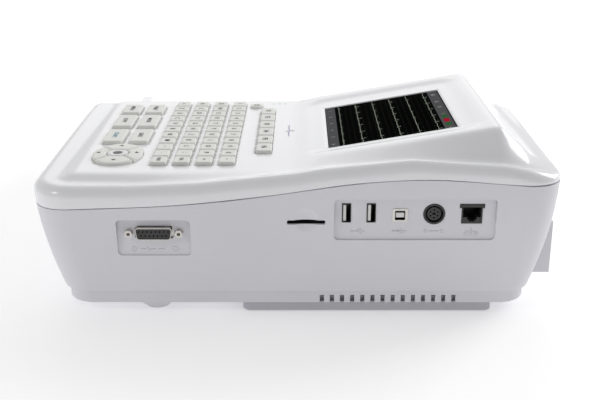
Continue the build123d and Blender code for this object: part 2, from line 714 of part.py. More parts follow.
# ---------------------------------------------------------------- boards, battery and supply
with BuildPart() as main_board:
    block(60.0, MAIN_BOARD_EDGE, -15.0, 136.0, MAIN_BOARD_TOP - BOARD, MAIN_BOARD_TOP)
    for x, y, size, height in ((110.0, 40.0, 24.0, 2.0), (80.0, 80.0, 16.0, 2.0), (140.0, 90.0, 14.0, 1.6)):
        block(x, x + size, y, y + size, MAIN_BOARD_TOP, MAIN_BOARD_TOP + height)
    for y in (0.0, 14.0, 28.0):
        block(68.0, 72.0, y, y + 9, MAIN_BOARD_TOP, MAIN_BOARD_TOP + 6)
finish(main_board, "main_board")

with BuildPart() as patient_board:
    block(110.0, 200.0, -138.0, -52.0, PATIENT_BOARD_TOP - BOARD, PATIENT_BOARD_TOP)
    block(122.0, 176.0, -128.0, -66.0, PATIENT_BOARD_TOP, PATIENT_BOARD_TOP + 8)
finish(patient_board, "patient_board")

with BuildPart() as power_supply:
    block(92.0, 170.0, 99.0, 146.0, SUPPLY_TOP - BOARD, SUPPLY_TOP)
    block(104.0, 132.0, 106.0, 132.0, SUPPLY_TOP, SUPPLY_TOP + 22)
    block(140.0, 144.0, 104.0, 140.0, SUPPLY_TOP, SUPPLY_TOP + 24)
    post(156.0, 116.0, SUPPLY_TOP, SUPPLY_TOP + 26, 8.0)
    post(156.0, 135.0, SUPPLY_TOP, SUPPLY_TOP + 18, 6.0)
finish(power_supply, "power_supply")

with BuildPart() as battery_pack:
    block(BAY_X[0] + 1, BAY_X[1] - 1, BAY_Y[0] + 1, BAY_Y[1] - 1, CASE_FLOOR_Z, 32.0)
    fillet(battery_pack.edges().filter_by(Axis.Z), 6.0)
finish(battery_pack, "battery_pack")


# ---------------------------------------------------------------- sockets on the right side
def connector_plan(width, height):
    """Plan of a D-shaped connector, its long side upwards, on the current sketch."""
    reach = height * tan(radians(10)) / 2
    with Locations((PATIENT_Y, PATIENT_Z)):
        Polygon(
            (-width / 2, height / 2),
            (width / 2, height / 2),
            (width / 2 - 2 * reach, -height / 2),
            (-width / 2 + 2 * reach, -height / 2),
            align=None,
        )


with BuildPart() as patient_shell:
    with BuildSketch(side_plane(201.7)) as shell_plan:
        connector_plan(25.0, 8.4)
        fillet(shell_plan.vertices(), 2.0)
        with BuildSketch(mode=Mode.SUBTRACT) as shell_inner:
            connector_plan(24.0, 7.4)
            fillet(shell_inner.vertices(), 1.5)
    extrude(amount=7.3)
    with BuildSketch(side_plane(201.7)) as flange_plan:
        with Locations((PATIENT_Y, PATIENT_Z)):
            RectangleRounded(39.2, 12.5, 1.5)
        with Locations((PATIENT_Y - JACK_SPACING / 2, PATIENT_Z), (PATIENT_Y + JACK_SPACING / 2, PATIENT_Z)):
            Circle(SCREW_R + RUN, mode=Mode.SUBTRACT)
        with BuildSketch(mode=Mode.SUBTRACT) as flange_inner:
            connector_plan(24.0, 7.4)
            fillet(flange_inner.vertices(), 1.5)
    extrude(amount=1.0)
finish(patient_shell, "patient_shell")

with BuildPart() as patient_insert:
    with BuildSketch(side_plane(198.0)) as insert_plan:
        connector_plan(23.9, 7.3)
        fillet(insert_plan.vertices(), 1.5)
        contacts = [(PATIENT_Y + 2.77 * (i - 3.5), PATIENT_Z + 1.42) for i in range(8)]
        contacts += [(PATIENT_Y + 2.77 * (i - 3), PATIENT_Z - 1.42) for i in range(7)]
        with Locations(*contacts):
            Circle(0.55, mode=Mode.SUBTRACT)
    extrude(amount=10.4)
    block(188.0, 198.5, PATIENT_Y - 13, PATIENT_Y + 13, PATIENT_BOARD_TOP, PATIENT_Z + 5)
finish(patient_insert, "patient_insert")

with BuildPart() as jack_screws:
    for y in (PATIENT_Y - JACK_SPACING / 2, PATIENT_Y + JACK_SPACING / 2):
        rod_x(y, PATIENT_Z, 199.0, 206.0, SCREW_R)
        with BuildSketch(side_plane(PATIENT_PANEL[4])):
            with Locations((y, PATIENT_Z)):
                RegularPolygon(2.75, 6)
                Circle(1.2, mode=Mode.SUBTRACT)
        extrude(amount=4.0)
finish(jack_screws, "jack_screws")


def open_shell(y, z, width, height, wall, inner_x=190.0):
    """Thin metal box of a socket, open towards the right, with a foot on the main board."""
    block(inner_x, PORT_FACE, y - width / 2, y + width / 2, z - height / 2, z + height / 2)
    block(inner_x, inner_x + 8, y - width / 2, y + width / 2, MAIN_BOARD_TOP, z)
    block(
        inner_x + 1, PORT_FACE + 1, y - width / 2 + wall, y + width / 2 - wall,
        z - height / 2 + wall, z + height / 2 - wall, Mode.SUBTRACT,
    )


with BuildPart() as usb_shells:
    for y in USB_A_YS:
        open_shell(y, USB_A_Z, 5.7, 13.1, 0.35)
    open_shell(USB_B_Y, USB_B_Z, 8.5, 8.5, 0.35)
finish(usb_shells, "usb_shells")

with BuildPart() as usb_tongues:
    for y in USB_A_YS:
        block(191.0, PORT_FACE - 0.6, y - 2.2, y - 0.3, USB_A_Z - 5.5, USB_A_Z + 5.5)
    block(191.0, PORT_FACE - 0.6, USB_B_Y - 2.8, USB_B_Y + 2.8, USB_B_Z - 1.6, USB_B_Z + 1.6)
finish(usb_tongues, "usb_tongues")

with BuildPart() as din_port:
    rod_x(DIN_Y, DIN_Z, 192.0, PORT_FACE, 7.0)
    block(192.0, 200.0, DIN_Y - 7, DIN_Y + 7, MAIN_BOARD_TOP, DIN_Z)
    rod_x(DIN_Y, DIN_Z, PORT_FACE - 6, PORT_FACE + 1, 5.9, Mode.SUBTRACT)
    rod_x(DIN_Y, DIN_Z, PORT_FACE - 7, PORT_FACE - 0.8, 4.6)
    for turn in range(6):
        angle = radians(30 + 60 * turn)
        y, z = DIN_Y + 2.7 * cos(angle), DIN_Z + 2.7 * sin(angle)
        rod_x(y, z, PORT_FACE - 6, PORT_FACE, 0.55, Mode.SUBTRACT)
    block(PORT_FACE - 6, PORT_FACE, DIN_Y - 1, DIN_Y + 1, DIN_Z - 0.6, DIN_Z + 0.6, Mode.SUBTRACT)
finish(din_port, "din_port")

with BuildPart() as lan_port:
    lan_half, lan_top = LAN_WIDTH / 2, LAN_Z + LAN_HEIGHT / 2
    block(188.0, PORT_FACE, LAN_Y - lan_half, LAN_Y + lan_half, LAN_Z - LAN_HEIGHT / 2, lan_top)
    block(188.0, PORT_FACE, LAN_Y - LAN_HEAD_WIDTH / 2, LAN_Y + LAN_HEAD_WIDTH / 2, lan_top - LAN_HEAD, lan_top)
    block(188.0, 200.0, LAN_Y - lan_half, LAN_Y + lan_half, MAIN_BOARD_TOP, LAN_Z)
    block(192.0, 210.0, LAN_Y - 6, LAN_Y + 6, LAN_Z - 2.4, LAN_Z + 4.6, Mode.SUBTRACT)
    block(192.0, 210.0, LAN_Y - 3.1, LAN_Y + 3.1, LAN_Z - 4.2, LAN_Z - 2.4, Mode.SUBTRACT)
    block(192.0, 210.0, LAN_Y - 1.8, LAN_Y + 1.8, LAN_Z - 5.4, LAN_Z - 4.2, Mode.SUBTRACT)
finish(lan_port, "lan_port")

with BuildPart() as card_socket:
    block(168.0, 203.0, CARD_Y - 15, CARD_Y + 15, MAIN_BOARD_TOP, CARD_Z + 2.6)
    block(MAIN_BOARD_EDGE + 0.5, 203.0, CARD_Y - 15, CARD_Y + 15, MAIN_BOARD_TOP - 4, MAIN_BOARD_TOP)
    half = CARD_WIDTH / 2
    block(172.0, 204.0, CARD_Y - half, CARD_Y + half, CARD_Z - 1.3, CARD_Z + 1.3, Mode.SUBTRACT)
finish(card_socket, "card_socket")

# ---------------------------------------------------------------- rear mains group
ROCKER_PIVOT_Y = 173.5
with BuildPart() as mains_inlet:
    block(INLET_X - 13.5, INLET_X + 13.5, 153.0, HOUSING_Y + 0.5, MAINS_Z - 10, MAINS_Z + 10)
    block(INLET_X - 15.0, INLET_X + 15.0, HOUSING_Y, HOUSING_Y + 1.5, MAINS_Z - 11.5, MAINS_Z + 11.5)
    with BuildSketch(rear_plane(HOUSING_Y + 1.5)):
        with Locations((-INLET_X, MAINS_Z)):
            Polygon((-12, -8.2), (12, -8.2), (12, 3.5), (8, 8.2), (-8, 8.2), (-12, 3.5), align=None)
    extrude(amount=-17, mode=Mode.SUBTRACT)
    block(ROCKER_X - 6.8, ROCKER_X + 6.8, 163.0, HOUSING_Y + 1, MAINS_Z - 10.1, MAINS_Z + 10.1)
    block(ROCKER_X - 7.9, ROCKER_X + 7.9, HOUSING_Y, HOUSING_Y + 1.2, MAINS_Z - 11.3, MAINS_Z + 11.3)
    block(ROCKER_X - 5.9, ROCKER_X + 5.9, 165.0, 180.0, MAINS_Z - 9.5, MAINS_Z + 9.5, Mode.SUBTRACT)
    rod_x(ROCKER_PIVOT_Y, MAINS_Z, ROCKER_X - 6.7, ROCKER_X + 6.7, 0.8 + RUN, Mode.SUBTRACT)
finish(mains_inlet, "mains_inlet")

with BuildPart() as inlet_pins:
    for x, z in ((INLET_X - 7, MAINS_Z - 2), (INLET_X + 7, MAINS_Z - 2), (INLET_X, MAINS_Z + 2)):
        block(x - 1, x + 1, HOUSING_Y + 1.5 - 17, HOUSING_Y - 1, z - 2, z + 2)
finish(inlet_pins, "inlet_pins")

with BuildPart() as mains_rocker:
    tilt = radians(ROCKER_TILT)
    profile = [(-3.5, -8.3), (2.2, -8.6), (1.0, 0.0), (2.2, 8.6), (-3.5, 8.3), (-6.0, 0.0)]
    turned = [
        (ROCKER_PIVOT_Y + y * cos(tilt) - z * sin(tilt), MAINS_Z + y * sin(tilt) + z * cos(tilt))
        for y, z in profile
    ]
    with BuildSketch(side_plane(ROCKER_X - 5.6)):
        with BuildLine():
            Polyline(*turned, close=True)
        make_face()
    extrude(amount=11.2)
    rod_x(ROCKER_PIVOT_Y, MAINS_Z, ROCKER_X - 6.5, ROCKER_X + 6.5, 0.8)
finish(mains_rocker, "mains_rocker")

with BuildPart() as fuse_holders:
    for z in FUSE_ZS:
        rod_y(FUSE_X, z, 155.0, HOUSING_Y + 0.5, 6.2)
        rod_y(FUSE_X, z, HOUSING_Y, HOUSING_Y + 1.4, 7.3)
        block(FUSE_X - 4, FUSE_X + 4, HOUSING_Y + 0.6, HOUSING_Y + 2, z - 0.6, z + 0.6, Mode.SUBTRACT)
finish(fuse_holders, "fuse_holders")

with BuildPart() as earth_stud:
    rod_y(EARTH_X, MAINS_Z, 160.0, 176.0, 2.95)
    with BuildSketch(rear_plane(165.5)):
        with Locations((-EARTH_X, MAINS_Z)):
            RegularPolygon(5.0, 6)
    extrude(amount=2.4)
finish(earth_stud, "earth_stud")

# ---------------------------------------------------------------- recorder
tray_floor = CASE_FLOOR_Z + WALL
idler_angle = radians(-60)
idler_centre = (
    PLATEN_X + GEAR_MODULE * (PLATEN_TEETH + IDLER_TEETH) / 2 * cos(idler_angle),
    PLATEN_Z + GEAR_MODULE * (PLATEN_TEETH + IDLER_TEETH) / 2 * sin(idler_angle),
)
pinion_angle = radians(53)
pinion_centre = (
    idler_centre[0] + GEAR_MODULE * (IDLER_TEETH + PINION_TEETH) / 2 * cos(pinion_angle),
    idler_centre[1] + GEAR_MODULE * (IDLER_TEETH + PINION_TEETH) / 2 * sin(pinion_angle),
)
platen_phase = idler_angle
idler_phase = mesh_phase(PLATEN_TEETH, platen_phase, IDLER_TEETH, idler_angle)
pinion_phase = mesh_phase(IDLER_TEETH, idler_phase, PINION_TEETH, pinion_angle)

with BuildPart() as recorder_tray:
    block(-193.0, TRAY_X[1], BRACKET_Y[0], TRAY_HALF_Y, tray_floor, tray_floor + 2)
    for side in (-1, 1):
        block(TRAY_X[0], TRAY_X[1], side * (TRAY_HALF_Y - 2), side * TRAY_HALF_Y, tray_floor, 42.0)
    block(TRAY_X[1] - 2, TRAY_X[1], -TRAY_HALF_Y, TRAY_HALF_Y, tray_floor, 48.0)
    block(TRAY_X[0] - 2, TRAY_X[0], -TRAY_HALF_Y, TRAY_HALF_Y, tray_floor, 27.0)
    block(-193.0, TRAY_X[0], -PLATEN_HALF, PLATEN_HALF, tray_floor, 20.0)
    block(-193.0, -152.0, BRACKET_Y[0], BRACKET_Y[1], tray_floor, 44.0)
    rod_y(idler_centre[0], idler_centre[1], BRACKET_Y[1], GEAR_Y[1] + 1, 2.0)
    rod_y(pinion_centre[0], pinion_centre[1], BRACKET_Y[0] - 1, BRACKET_Y[1] + 1, 3.0, Mode.SUBTRACT)
finish(recorder_tray, "recorder_tray")

with BuildPart() as thermal_head:
    block(-196.0, -180.4, -PLATEN_HALF + 1, PLATEN_HALF - 1, 20.0, 22.5)
    for fin in range(4):
        block(-195.2 + 4.0 * fin, -193.2 + 4.0 * fin, -PLATEN_HALF + 1, PLATEN_HALF - 1, 22.5, 26.5)
    block(-196.0, -180.4, -PLATEN_HALF + 1, PLATEN_HALF - 1, 26.5, PLATEN_Z - PLATEN_R - 0.3)
finish(thermal_head, "thermal_head")

with BuildPart() as platen_roller:
    rod_y(PLATEN_X, PLATEN_Z, -PLATEN_HALF, PLATEN_HALF, PLATEN_R)
    rod_y(PLATEN_X, PLATEN_Z, -PLATEN_HALF - 1, PLATEN_HALF + 1, SHAFT_R, Mode.SUBTRACT)
finish(platen_roller, "platen_roller")

with BuildPart() as platen_shaft:
    rod_y(PLATEN_X, PLATEN_Z, GEAR_Y[0] - 0.5, 117.5, SHAFT_R)
finish(platen_shaft, "platen_shaft")

finish(gear((PLATEN_X, PLATEN_Z), PLATEN_TEETH, platen_phase, SHAFT_R), "platen_gear")
finish(gear(idler_centre, IDLER_TEETH, idler_phase, 2.0 + RUN), "idler_gear")

with BuildPart() as motor_pinion:
    add(gear(pinion_centre, PINION_TEETH, pinion_phase, 0.9, 0.9).part)
    rod_y(pinion_centre[0], pinion_centre[1], -136.0, GEAR_Y[1] + 0.5, 1.0)
finish(motor_pinion, "motor_pinion")

with BuildPart() as drive_motor:
    rod_y(pinion_centre[0], pinion_centre[1], -143.0, BRACKET_Y[0], 12.3)
    rod_y(pinion_centre[0], pinion_centre[1], BRACKET_Y[0], BRACKET_Y[1], 2.9)
    rod_y(pinion_centre[0], pinion_centre[1], -137.0, BRACKET_Y[1] + 1, 1.0 + RUN, Mode.SUBTRACT)
finish(drive_motor, "drive_motor")

with BuildPart() as recorder_door:
    with BuildSketch(front_plane(DOOR_HALF_Y)):
        with BuildLine():
            Polyline(
                (DOOR_X[0], recorder_z(DOOR_X[0])),
                (DOOR_X[1], recorder_z(DOOR_X[1])),
                (DOOR_X[1], recorder_z(DOOR_X[1]) - WALL),
                (DOOR_X[0] + 2, recorder_z(DOOR_X[0]) - WALL),
                (DOOR_X[0] + 2, recorder_z(DOOR_X[0]) - 6),
                (DOOR_X[0], recorder_z(DOOR_X[0]) - 6),
                close=True,
            )
        make_face()
    extrude(amount=2 * DOOR_HALF_Y)
    skirt_x = (DOOR_X[0] + 2, -36.0)
    for side in (-1, 1):
        start = side * DOOR_HALF_Y
        with BuildSketch(front_plane(start)):
            with BuildLine():
                Polyline(
                    (skirt_x[0], recorder_z(skirt_x[0]) - 1),
                    (skirt_x[1], recorder_z(skirt_x[1]) - 1),
                    (skirt_x[1], recorder_z(skirt_x[1]) - 8),
                    (skirt_x[0], recorder_z(skirt_x[0]) - 8),
                    close=True,
                )
            make_face()
        extrude(amount=side * 2.0)
        block(-193.5, -182.5, side * 113.5, side * 116.0, PLATEN_Z - 5.5, recorder_z(-194) - 1)
        with BuildSketch(front_plane(side * 130.0)):
            with BuildLine():
                Polyline(
                    (-34, recorder_z(-34) - 1),
                    (DOOR_X[1], recorder_z(DOOR_X[1]) - 1),
                    (HINGE_X, HINGE_Z + 3.2),
                    (HINGE_X, HINGE_Z - 3.2),
                    (-34, recorder_z(-34) - 5),
                    close=True,
                )
            make_face()
        extrude(amount=side * 12.0)
        rod_y(HINGE_X, HINGE_Z, side * 118.0, side * 130.0, 3.2)
    rod_y(PLATEN_X, PLATEN_Z, -120.0, 120.0, SHAFT_R + RUN, Mode.SUBTRACT)
    rod_y(HINGE_X, HINGE_Z, -131.0, 131.0, HINGE_PIN_R + RUN, Mode.SUBTRACT)
finish(recorder_door, "recorder_door")

with BuildPart() as hinge_pins:
    for side in (-1, 1):
        rod_y(HINGE_X, HINGE_Z, side * 117.0, side * 134.9, HINGE_PIN_R)
finish(hinge_pins, "hinge_pins")

with BuildPart() as door_latch:
    surface = recorder_z(LATCH_X)
    block(LATCH_X - 10, LATCH_X + 10, LATCH_Y - 4, LATCH_Y + 4, surface + 3.2, surface + 4.4)
    block(LATCH_X - 3.5, LATCH_X + 3.5, LATCH_Y - 2, LATCH_Y + 2, surface - 8, surface + 3.5)
    block(LATCH_X - 3.5, LATCH_X + 3.5, LATCH_Y - 2, -DOOR_HALF_Y - 0.4, surface - 8, surface - 6)
finish(door_latch, "door_latch")
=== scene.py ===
"""Looks of a desktop ECG recorder: keyboard, tilted display, side sockets and a paper recorder.

Everything is in metres in the CAD frame: origin on the resting surface below the middle of the case,
+X to the operator's right, +Y to the back, +Z up. Sizes below are in millimetres where a name says so
or a class works in them, and are turned into metres when a mesh is made.
"""

import logging
import math
from dataclasses import dataclass, field
from enum import Enum

import bmesh
import bpy
import numpy as np
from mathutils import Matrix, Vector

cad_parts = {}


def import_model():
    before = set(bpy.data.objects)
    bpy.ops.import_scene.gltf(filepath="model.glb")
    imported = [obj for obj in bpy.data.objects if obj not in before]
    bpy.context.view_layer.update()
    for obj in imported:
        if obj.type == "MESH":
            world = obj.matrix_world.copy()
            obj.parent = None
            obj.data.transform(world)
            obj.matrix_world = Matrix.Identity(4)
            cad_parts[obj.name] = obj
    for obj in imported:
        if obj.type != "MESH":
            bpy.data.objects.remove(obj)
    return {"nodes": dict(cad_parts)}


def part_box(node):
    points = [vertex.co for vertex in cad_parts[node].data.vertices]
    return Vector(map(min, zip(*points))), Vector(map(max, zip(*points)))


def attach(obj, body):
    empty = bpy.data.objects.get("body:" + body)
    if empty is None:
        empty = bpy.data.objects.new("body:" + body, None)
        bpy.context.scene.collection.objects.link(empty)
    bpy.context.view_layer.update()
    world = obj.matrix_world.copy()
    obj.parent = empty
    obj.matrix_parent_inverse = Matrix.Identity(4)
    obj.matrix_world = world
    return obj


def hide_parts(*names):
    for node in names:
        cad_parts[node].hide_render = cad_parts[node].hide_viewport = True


MM = 0.001
LOG = logging.getLogger("ecg_recorder")


# ---------------------------------------------------------------- finishes
class Sheen(Enum):
    """How the surface of a finish answers light."""

    PLASTIC = "plastic"
    METAL = "metal"
    RUBBER = "rubber"
    LIT = "lit"


@dataclass(frozen=True)
class Finish:
    """A procedural finish: a base colour that drifts a little, uneven roughness and a fine grain."""

    name: str
    colour: tuple[float, float, float]
    roughness: float
    sheen: Sheen = Sheen.PLASTIC
    drift: float = 0.03
    drift_size: float = 0.06
    unevenness: float = 0.06
    grain_size: float = 0.0012
    grain_depth: float = 0.02
    coat: float = 0.0
    glow: float = 0.0
    specular: float = 0.5
    slot: str = "cover_white"

    def material(self) -> bpy.types.Material:
        """Node material of this finish, made once.

        Colour is the base colour mixed with a darker one by a broad noise; roughness is a middle value
        moved up and down by a second noise; the normal comes from a fine noise through a bump.

        Returns:
            The material.
        """
        made = bpy.data.materials.get(self.name)
        if made is not None:
            return made
        made = bpy.data.materials.new(self.name)
        made.use_nodes = True
        tree = made.node_tree
        shader = tree.nodes["Principled BSDF"]
        place = tree.nodes.new("ShaderNodeTexCoord").outputs["Object"]

        broad = self._noise(tree, place, 1.0 / self.drift_size, 3.0)
        ramp = tree.nodes.new("ShaderNodeValToRGB")
        ramp.color_ramp.elements[0].position = 0.35
        ramp.color_ramp.elements[1].position = 0.65
        darker = [channel * (1.0 - self.drift) for channel in self.colour]
        ramp.color_ramp.elements[0].color = (*darker, 1.0)
        ramp.color_ramp.elements[1].color = (*self.colour, 1.0)
        tree.links.new(broad, ramp.inputs["Fac"])
        tree.links.new(ramp.outputs["Color"], shader.inputs["Base Color"])

        patches = self._noise(tree, place, 1.0 / (self.grain_size * 12.0), 4.0)
        spread = tree.nodes.new("ShaderNodeMapRange")
        spread.inputs["To Min"].default_value = max(0.02, self.roughness * (1.0 - self.unevenness * 2.0))
        spread.inputs["To Max"].default_value = min(1.0, self.roughness * (1.0 + self.unevenness * 2.0))
        tree.links.new(patches, spread.inputs["Value"])
        tree.links.new(spread.outputs["Result"], shader.inputs["Roughness"])

        fine = self._noise(tree, place, 1.0 / self.grain_size, 2.0)
        bump = tree.nodes.new("ShaderNodeBump")
        bump.inputs["Strength"].default_value = 0.25
        bump.inputs["Distance"].default_value = self.grain_depth * MM
        tree.links.new(fine, bump.inputs["Height"])
        tree.links.new(bump.outputs["Normal"], shader.inputs["Normal"])

        shader.inputs["Metallic"].default_value = 1.0 if self.sheen is Sheen.METAL else 0.0
        shader.inputs["Coat Weight"].default_value = self.coat
        shader.inputs["Coat Roughness"].default_value = 0.06
        shader.inputs["Specular IOR Level"].default_value = (
            0.25 if self.sheen is Sheen.RUBBER else self.specular
        )
        if self.sheen is Sheen.LIT:
            shader.inputs["Emission Color"].default_value = (*self.colour, 1.0)
            shader.inputs["Emission Strength"].default_value = self.glow
        return made

    @staticmethod
    def _noise(
        tree: bpy.types.NodeTree, place: bpy.types.NodeSocket, scale: float, detail: float
    ) -> bpy.types.NodeSocket:
        """A noise pattern in object space.

        Args:
            tree: The node tree it is added to.
            place: The coordinate output that feeds it.
            scale: Pattern repeats in a metre.
            detail: Octaves of the noise.

        Returns:
            The noise's factor output.
        """
        noise = tree.nodes.new("ShaderNodeTexNoise")
        noise.inputs["Scale"].default_value = scale
        noise.inputs["Detail"].default_value = detail
        tree.links.new(place, noise.inputs["Vector"])
        return noise.outputs["Fac"]


COVER_GLOSS = Finish("cover_gloss", (0.87, 0.87, 0.895), 0.24, drift=0.012, grain_depth=0.006, coat=0.35)
CASE_SATIN = Finish(
    "case_satin",
    (0.75, 0.745, 0.79),
    0.44,
    drift=0.02,
    grain_size=0.0007,
    grain_depth=0.03,
    slot="case_lilac",
)
# Service cover under the case: darker grey than the case, painted shade for the shadow it lies in beneath the
# case.
BASE_SATIN_PAINTED_SHADE = Finish(
    "base_satin_painted_shade", (0.52, 0.52, 0.56), 0.5, grain_size=0.0007, grain_depth=0.03, slot="case_grey"
)
FOOT_MOULDING = Finish("foot_moulding", (0.80, 0.80, 0.82), 0.5, Sheen.RUBBER, slot="foot_rubber")
KEY_IVORY = Finish("key_ivory", (0.70, 0.705, 0.68), 0.42, drift=0.02, grain_depth=0.012, slot="key_ivory")
KEY_WHITE = Finish("key_white", (0.80, 0.80, 0.80), 0.32, drift=0.015, grain_depth=0.01, slot="key_ivory")
MAT_GREY = Finish("mat_grey", (0.16, 0.16, 0.16), 0.8, Sheen.RUBBER, slot="mat_rubber")
INK_DARK = Finish("ink_dark", (0.045, 0.045, 0.05), 0.6, drift=0.1, slot="key_ivory")
INK_BLUE = Finish("ink_blue", (0.09, 0.34, 0.46), 0.6, drift=0.1, slot="key_ivory")
INK_LILAC = Finish("ink_lilac", (0.36, 0.33, 0.52), 0.6, drift=0.1, slot="cover_white")
GLASS_BLACK = Finish(
    "glass_black", (0.004, 0.004, 0.004), 0.2, drift=0.3, grain_depth=0.0, specular=0.0, slot="window"
)
BAR_GREY = Finish("bar_grey", (0.11, 0.11, 0.115), 0.4, drift=0.1, specular=0.0, slot="window")
TRACE_LIGHT = Finish(
    "trace_light", (0.42, 0.46, 0.38), 0.5, Sheen.LIT, glow=0.12, specular=0.0, slot="window"
)
TRACE_FAINT = Finish("trace_faint", (0.05, 0.08, 0.05), 0.5, Sheen.LIT, glow=0.1, specular=0.0, slot="window")
BLOCK_RED = Finish("block_red", (0.42, 0.01, 0.03), 0.5, Sheen.LIT, glow=0.12, specular=0.0, slot="window")
BLOCK_GREEN = Finish("block_green", (0.03, 0.13, 0.04), 0.5, Sheen.LIT, glow=0.1, specular=0.0, slot="window")
SOCKET_BLACK = Finish(
    "socket_black", (0.012, 0.012, 0.013), 0.45, drift=0.1, specular=0.2, slot="socket_black"
)
NICKEL = Finish("nickel", (0.64, 0.62, 0.58), 0.28, Sheen.METAL, drift=0.08, slot="plated_metal")
# USB socket shells: plated metal coloured near black, painted shade standing in for the shade inside the
# socket openings.
USB_SHELL_PAINTED_SHADE = Finish("usb_shell_painted_shade", (0.07, 0.068, 0.065), 0.4, Sheen.METAL, drift=0.08, slot="plated_metal")
BRASS = Finish("brass", (0.78, 0.60, 0.30), 0.3, Sheen.METAL, drift=0.08, slot="contact_brass")
STEEL = Finish("steel", (0.55, 0.55, 0.56), 0.32, Sheen.METAL, drift=0.08, slot="shaft_steel")
ALUMINIUM = Finish("aluminium", (0.70, 0.71, 0.72), 0.38, Sheen.METAL, drift=0.06, slot="head_aluminium")
TONGUE = Finish("tongue", (0.80, 0.80, 0.78), 0.45, slot="tongue_white")
LAMP_GREEN = Finish("lamp_green", (0.18, 0.60, 0.24), 0.25, Sheen.LIT, glow=0.15, slot="lamp_green")
TRAY_GREY = Finish("tray_grey", (0.45, 0.45, 0.47), 0.5, slot="tray_grey")
GEAR_WHITE = Finish("gear_white", (0.78, 0.77, 0.72), 0.4, slot="gear_plastic")
PLATEN_RUBBER = Finish("platen_rubber", (0.045, 0.045, 0.05), 0.75, Sheen.RUBBER, slot="platen_rubber")
BATTERY_WRAP = Finish("battery_wrap", (0.05, 0.13, 0.36), 0.35, drift=0.08, slot="battery_wrap")
BOARD_GREEN = Finish(
    "board_green",
    (0.02, 0.17, 0.07),
    0.35,
    drift=0.35,
    drift_size=0.004,
    grain_depth=0.05,
    slot="board_green",
)


# ---------------------------------------------------------------- mesh making
def grid_faces(rows: int, columns: int, closed: bool = False) -> np.ndarray:
    """Quads of a grid of points laid out row by row.

    Args:
        rows: Number of rows of points.
        columns: Number of points in a row.
        closed: Whether the last column joins the first.

    Returns:
        An array of quads, whose normals are the columns' direction crossed with the rows' direction.
    """
    row = np.arange(rows - 1)[:, None]
    column = np.arange(columns if closed else columns - 1)[None, :]
    here = row * columns + column
    beside = row * columns + (column + 1) % columns
    return np.stack([here, beside, beside + columns, here + columns], -1).reshape(-1, 4)


def make_piece(
    name: str,
    points: np.ndarray,
    faces: list | np.ndarray,
    finish: Finish,
    body: str = "case",
    sharp: float = 40.0,
) -> bpy.types.Object:
    """A piece from points in millimetres.

    Args:
        name: Name of the piece.
        points: Points in the object's frame, in millimetres, of any leading shape.
        faces: Corner numbers of each face.
        finish: Its finish.
        body: The body it rides on.
        sharp: Edges that turn by more than this many degrees stay sharp.

    Returns:
        The new object, at the origin.
    """
    mesh = bpy.data.meshes.new(name)
    corners = faces.tolist() if isinstance(faces, np.ndarray) else faces
    mesh.from_pydata((points.reshape(-1, 3) * MM).tolist(), [], corners)
    mesh.shade_smooth()
    mesh.set_sharp_from_angle(angle=math.radians(sharp))
    mesh.materials.append(finish.material())
    piece = bpy.data.objects.new(name, mesh)
    bpy.context.scene.collection.objects.link(piece)
    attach(piece, body)
    LOG.info("%s: %d faces on %s", name, len(mesh.polygons), body)
    return piece


def perimeter(rows: int, columns: int) -> np.ndarray:
    """Point numbers round a grid's border, anticlockwise when rows run +Y and columns +X."""
    numbers = np.arange(rows * columns).reshape(rows, columns)
    return np.concatenate([numbers[0, :-1], numbers[:-1, -1], numbers[-1, :0:-1], numbers[:0:-1, 0]])


def rounded_outline(
    half_x: float, half_y: float, corner: float, arc_points: int = 6
) -> tuple[np.ndarray, np.ndarray]:
    """A rounded rectangle about the origin: each corner's centre plus the radius along a turning normal.

    Args:
        half_x: Half its width.
        half_y: Half its height.
        corner: Corner radius.
        arc_points: Points on each corner's arc.

    Returns:
        The points, anticlockwise, and their outward normals.
    """
    angles = (np.arange(4)[:, None] + np.linspace(0.0, 1.0, arc_points)[None, :]) * math.pi / 2
    normals = np.stack([np.cos(angles), np.sin(angles)], -1)
    signs = np.array([[1, 1], [-1, 1], [-1, -1], [1, -1]])[:, None, :]
    centres = signs * np.array([half_x - corner, half_y - corner])
    return (centres + corner * normals).reshape(-1, 2), normals.reshape(-1, 2)


def capped_rings(rings: np.ndarray) -> tuple[np.ndarray, list]:
    """Closed skin over stacked rings, with a middle point at each end.

    Args:
        rings: Points as (ring, around, xyz), bottom ring first, each anticlockwise from above.

    Returns:
        The points and the faces.
    """
    count, around = rings.shape[:2]
    points = np.concatenate([rings.reshape(-1, 3), rings[0].mean(0)[None], rings[-1].mean(0)[None]])
    here = np.arange(around)
    beside = (here + 1) % around
    bottom = np.stack([beside, here, np.full(around, count * around)], -1)
    last = (count - 1) * around
    top = np.stack([last + here, last + beside, np.full(around, count * around + 1)], -1)
    return points, grid_faces(count, around, True).tolist() + bottom.tolist() + top.tolist()


def repeated(points: np.ndarray, faces: list, places: np.ndarray) -> tuple[np.ndarray, list]:
    """The same small mesh at several places, as one mesh.

    Args:
        points: Points of one copy.
        faces: Faces of one copy.
        places: Where each copy goes, as (copy, xyz).

    Returns:
        All points and all faces.
    """
    everything = (points[None] + places[:, None, :]).reshape(-1, 3)
    moved = [
        [corner + copy * len(points) for corner in face] for copy in range(len(places)) for face in faces
    ]
    return everything, moved


def ribbon(path: np.ndarray, width: float, closed: bool = False) -> tuple[np.ndarray, list]:
    """Flat ribbon along a path in the plane: each point moved half the width to either side of its tangent.

    Args:
        path: Points (x, y) in millimetres.
        width: Width of the ribbon.
        closed: Whether the path closes on itself.

    Returns:
        The points (x, y) and the faces, which face up.
    """
    ends = [np.roll(path, -1, 0) - np.roll(path, 1, 0)] if closed else [np.gradient(path, axis=0)]
    tangent = ends[0] / np.linalg.norm(ends[0], axis=1, keepdims=True)
    aside = np.stack([-tangent[:, 1], tangent[:, 0]], -1) * width / 2
    points = np.concatenate([path - aside, path + aside])
    return points, grid_faces(2, len(path), closed).tolist()


